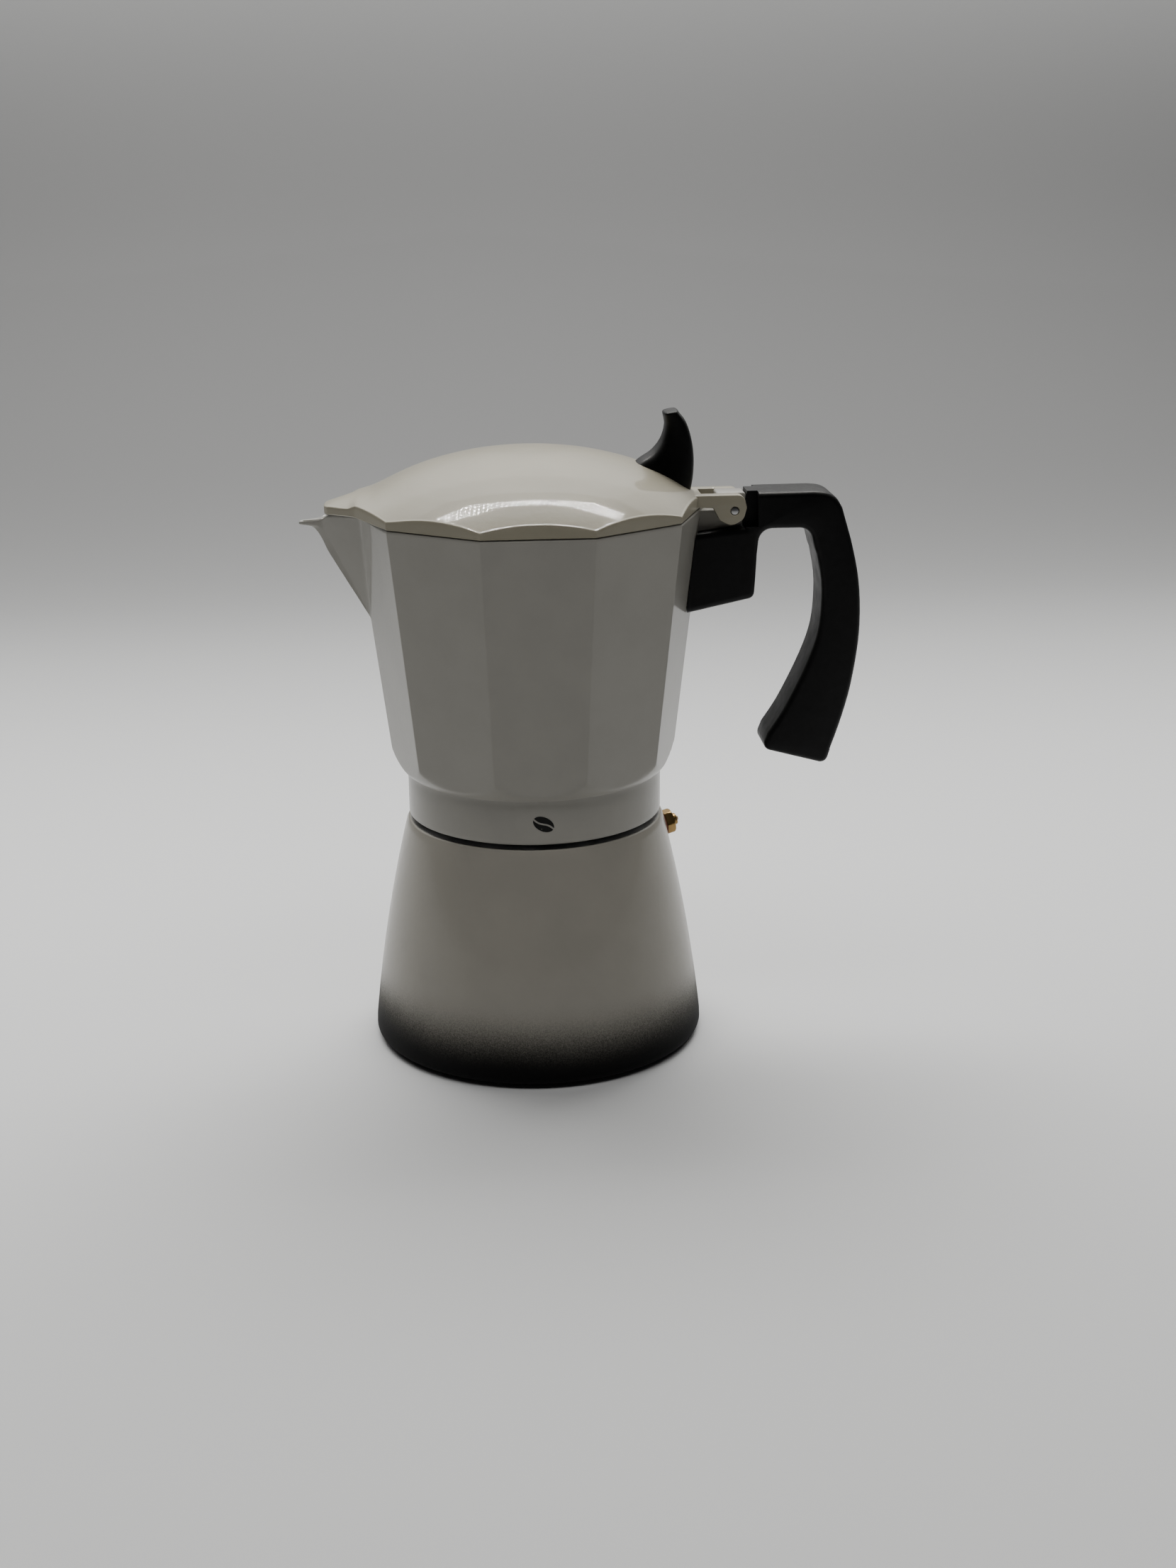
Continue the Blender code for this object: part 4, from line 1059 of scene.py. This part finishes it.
def backdrop_surface():
    """Satin paper with painted light and shade: paler on the floor round the pot than in front of it and
    up the wall, and a painted glow up the wall.
    """
    surface = Surface("backdrop_paper_painted_light", (0.4, 0.4, 0.395), 0.75)
    split = surface.node("ShaderNodeSeparateXYZ")
    surface.link(surface.coords.outputs["Object"], split.inputs[0])
    # masks by Y: painted shade at the floor's front and on the wall, painted light on the floor round the
    # pot
    back = surface.remap(split.outputs["Y"], 0.12, 0.85)
    edge = surface.remap(split.outputs["Y"], -0.95, -0.40)
    front = surface.remap(split.outputs["Y"], -0.32, 0.10)
    floor = surface.mix(front, surface.mix(edge, FLOOR_EDGE_SHADE, FLOOR_FRONT_SHADE), FLOOR_BACK_LIGHT)
    surface.put("Base Color", surface.mix(back, floor, WALL))
    # painted glow: the paper gives off light, stronger with height up the wall
    surface.put("Emission Color", (1.0, 1.0, 0.99, 1.0))
    surface.put("Emission Strength", surface.remap(split.outputs["Z"], 0.21, 1.15, 0.0, 2.1))
    surface.bump(surface.noise(900.0), 0.00002)
    return surface.material


def make_backdrop():
    """Paper sweep: floor, a wide bend and the wall behind."""
    bend_y, bend_r, far, half_width, front_y = 0.62, 0.42, 1.9, 1.6, -1.0
    profile = [(front_y, 0.0), (bend_y, 0.0)]
    for step in range(1, 25):
        turn = math.radians(90 * step / 24)
        profile.append((bend_y + bend_r * math.sin(turn), bend_r * (1 - math.cos(turn))))
    profile.append((bend_y + bend_r, far))
    bm = bmesh.new()
    rows = [[bm.verts.new((x, y, z)) for x in (-half_width, half_width)] for y, z in profile]
    for low, high in zip(rows, rows[1:]):
        bm.faces.new((low[0], low[1], high[1], high[0]))
    sweep = dress(new_object("backdrop", mesh_of("backdrop", bm)), backdrop_surface())
    sweep.data.shade_smooth()


def area_light(name, place_at, aim_at, size, power):
    """Adds a rectangular lamp, aimed at a point, that doesn't show in glossy surfaces."""
    lamp = bpy.data.lights.new(name, "AREA")
    lamp.shape = "RECTANGLE"
    lamp.size, lamp.size_y = size
    lamp.energy = power
    obj = new_object(name, lamp)
    obj.location = place_at
    obj.rotation_euler = (Vector(aim_at) - Vector(place_at)).to_track_quat("-Z", "Y").to_euler()
    obj.visible_glossy = False


def make_led_strip():
    """Rows of small bright lamps above the pot, like those of a photo tent."""
    bm = bmesh.new()
    half, spacing, row_gap, first_y, height = 0.003, 0.026, 0.034, 0.25, 1.1
    for row in range(4):
        for k in range(-26, 21):
            x = spacing * (k + row / 4)
            y = first_y + row_gap * row
            corners = ((-half, -half), (-half, half), (half, half), (half, -half))
            bm.faces.new([bm.verts.new((x + dx, y + dy, height)) for dx, dy in corners])
    strip = new_object("led_strip", mesh_of("led_strip", bm))
    surface = Surface("led_glow", (0.0, 0.0, 0.0), 1.0)
    surface.put("Emission Color", (1.0, 0.98, 0.94, 1.0))
    surface.put("Emission Strength", 1250)
    dress(strip, surface.material)
    strip.visible_diffuse = False


def make_lights():
    """Photo tent: soft light from above and behind, a weaker one in front and the strip of lamps."""
    area_light("overhead", (0.0, 0.70, 1.28), (0.0, 0.1, 0.0), (1.6, 0.8), 36)
    area_light("front", (0.0, -0.45, 1.25), (0.0, -0.05, 0.0), (1.4, 0.5), 8.0)
    make_led_strip()
    world = bpy.context.scene.world or bpy.data.worlds.new("world")
    bpy.context.scene.world = world
    world.use_nodes = True
    background = world.node_tree.nodes["Background"]
    background.inputs["Color"].default_value = (0.95, 0.96, 1.0, 1.0)
    background.inputs["Strength"].default_value = 0.03


def make_camera():
    """Camera at the photograph's viewing angle."""
    heading, pitch = math.radians(CAMERA_HEADING), math.radians(CAMERA_PITCH)
    roll = math.radians(CAMERA_ROLL)
    forward = Vector((math.sin(heading) * math.cos(pitch), math.cos(heading) * math.cos(pitch),
                      -math.sin(pitch)))
    right = Vector((math.cos(heading), -math.sin(heading), 0.0))
    down = forward.cross(right)
    turned_right = right * math.cos(roll) + down * math.sin(roll)
    turned_down = down * math.cos(roll) - right * math.sin(roll)
    data = bpy.data.cameras.new("camera")
    data.sensor_width = 36.0
    data.lens = CAMERA_LENS
    camera = new_object("camera", data)
    axes = Matrix((turned_right, -turned_down, -forward)).transposed().to_4x4()
    camera.matrix_world = Matrix.Translation(CAMERA_AT) @ axes
    bpy.context.scene.camera = camera


def main():
    """Loads the frame, makes the pieces over it and sets up the studio."""
    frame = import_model()

    cast = metal_surface("cast_aluminium", (0.56, 0.56, 0.56), 0.42, 700.0, 0.00004)
    spun = metal_surface("spun_aluminium", (0.68, 0.68, 0.69), 0.38, 1500.0, 0.00001, 0.05)
    steel = metal_surface("plain_steel", (0.50, 0.50, 0.50), 0.34, 1200.0, 0.00001, 0.08)
    brass = metal_surface("valve_brass_metal", (0.34, 0.22, 0.085), 0.40, 1300.0, 0.00001, 0.08)
    disc_steel = turned_metal("turned_steel", (0.52, 0.52, 0.53), 0.34)
    plastic = plastic_surface("black_moulding")
    silicone = soft_surface("silicone", (0.80, 0.79, 0.74), 0.55)
    fibre = soft_surface("valve_fibre_washer", (0.22, 0.07, 0.045), 0.8)

    make_boiler(boiler_paint(), cast)
    make_disc(disc_steel)
    make_valve(brass)
    make_collector(paint_surface("jug_cream", JUG_CREAM).material, cast)
    make_glyph(plastic)
    make_lid(paint_surface("lid_cream", LID_CREAM).material, cast)
    make_knob(plastic)
    make_handle(plastic)
    make_pin(steel)
    make_funnel(spun)
    make_sieves_and_seal(spun, silicone)
    make_column(cast)
    recolour(frame, ["valve_cap", "valve_plunger"], brass)
    recolour(frame, ["valve_washer"], fibre)
    recolour(frame, ["valve_spring", "knob_screw", "knob_washer", "handle_screw", "handle_washer"],
             steel)

    make_backdrop()
    make_lights()
    make_camera()


main()
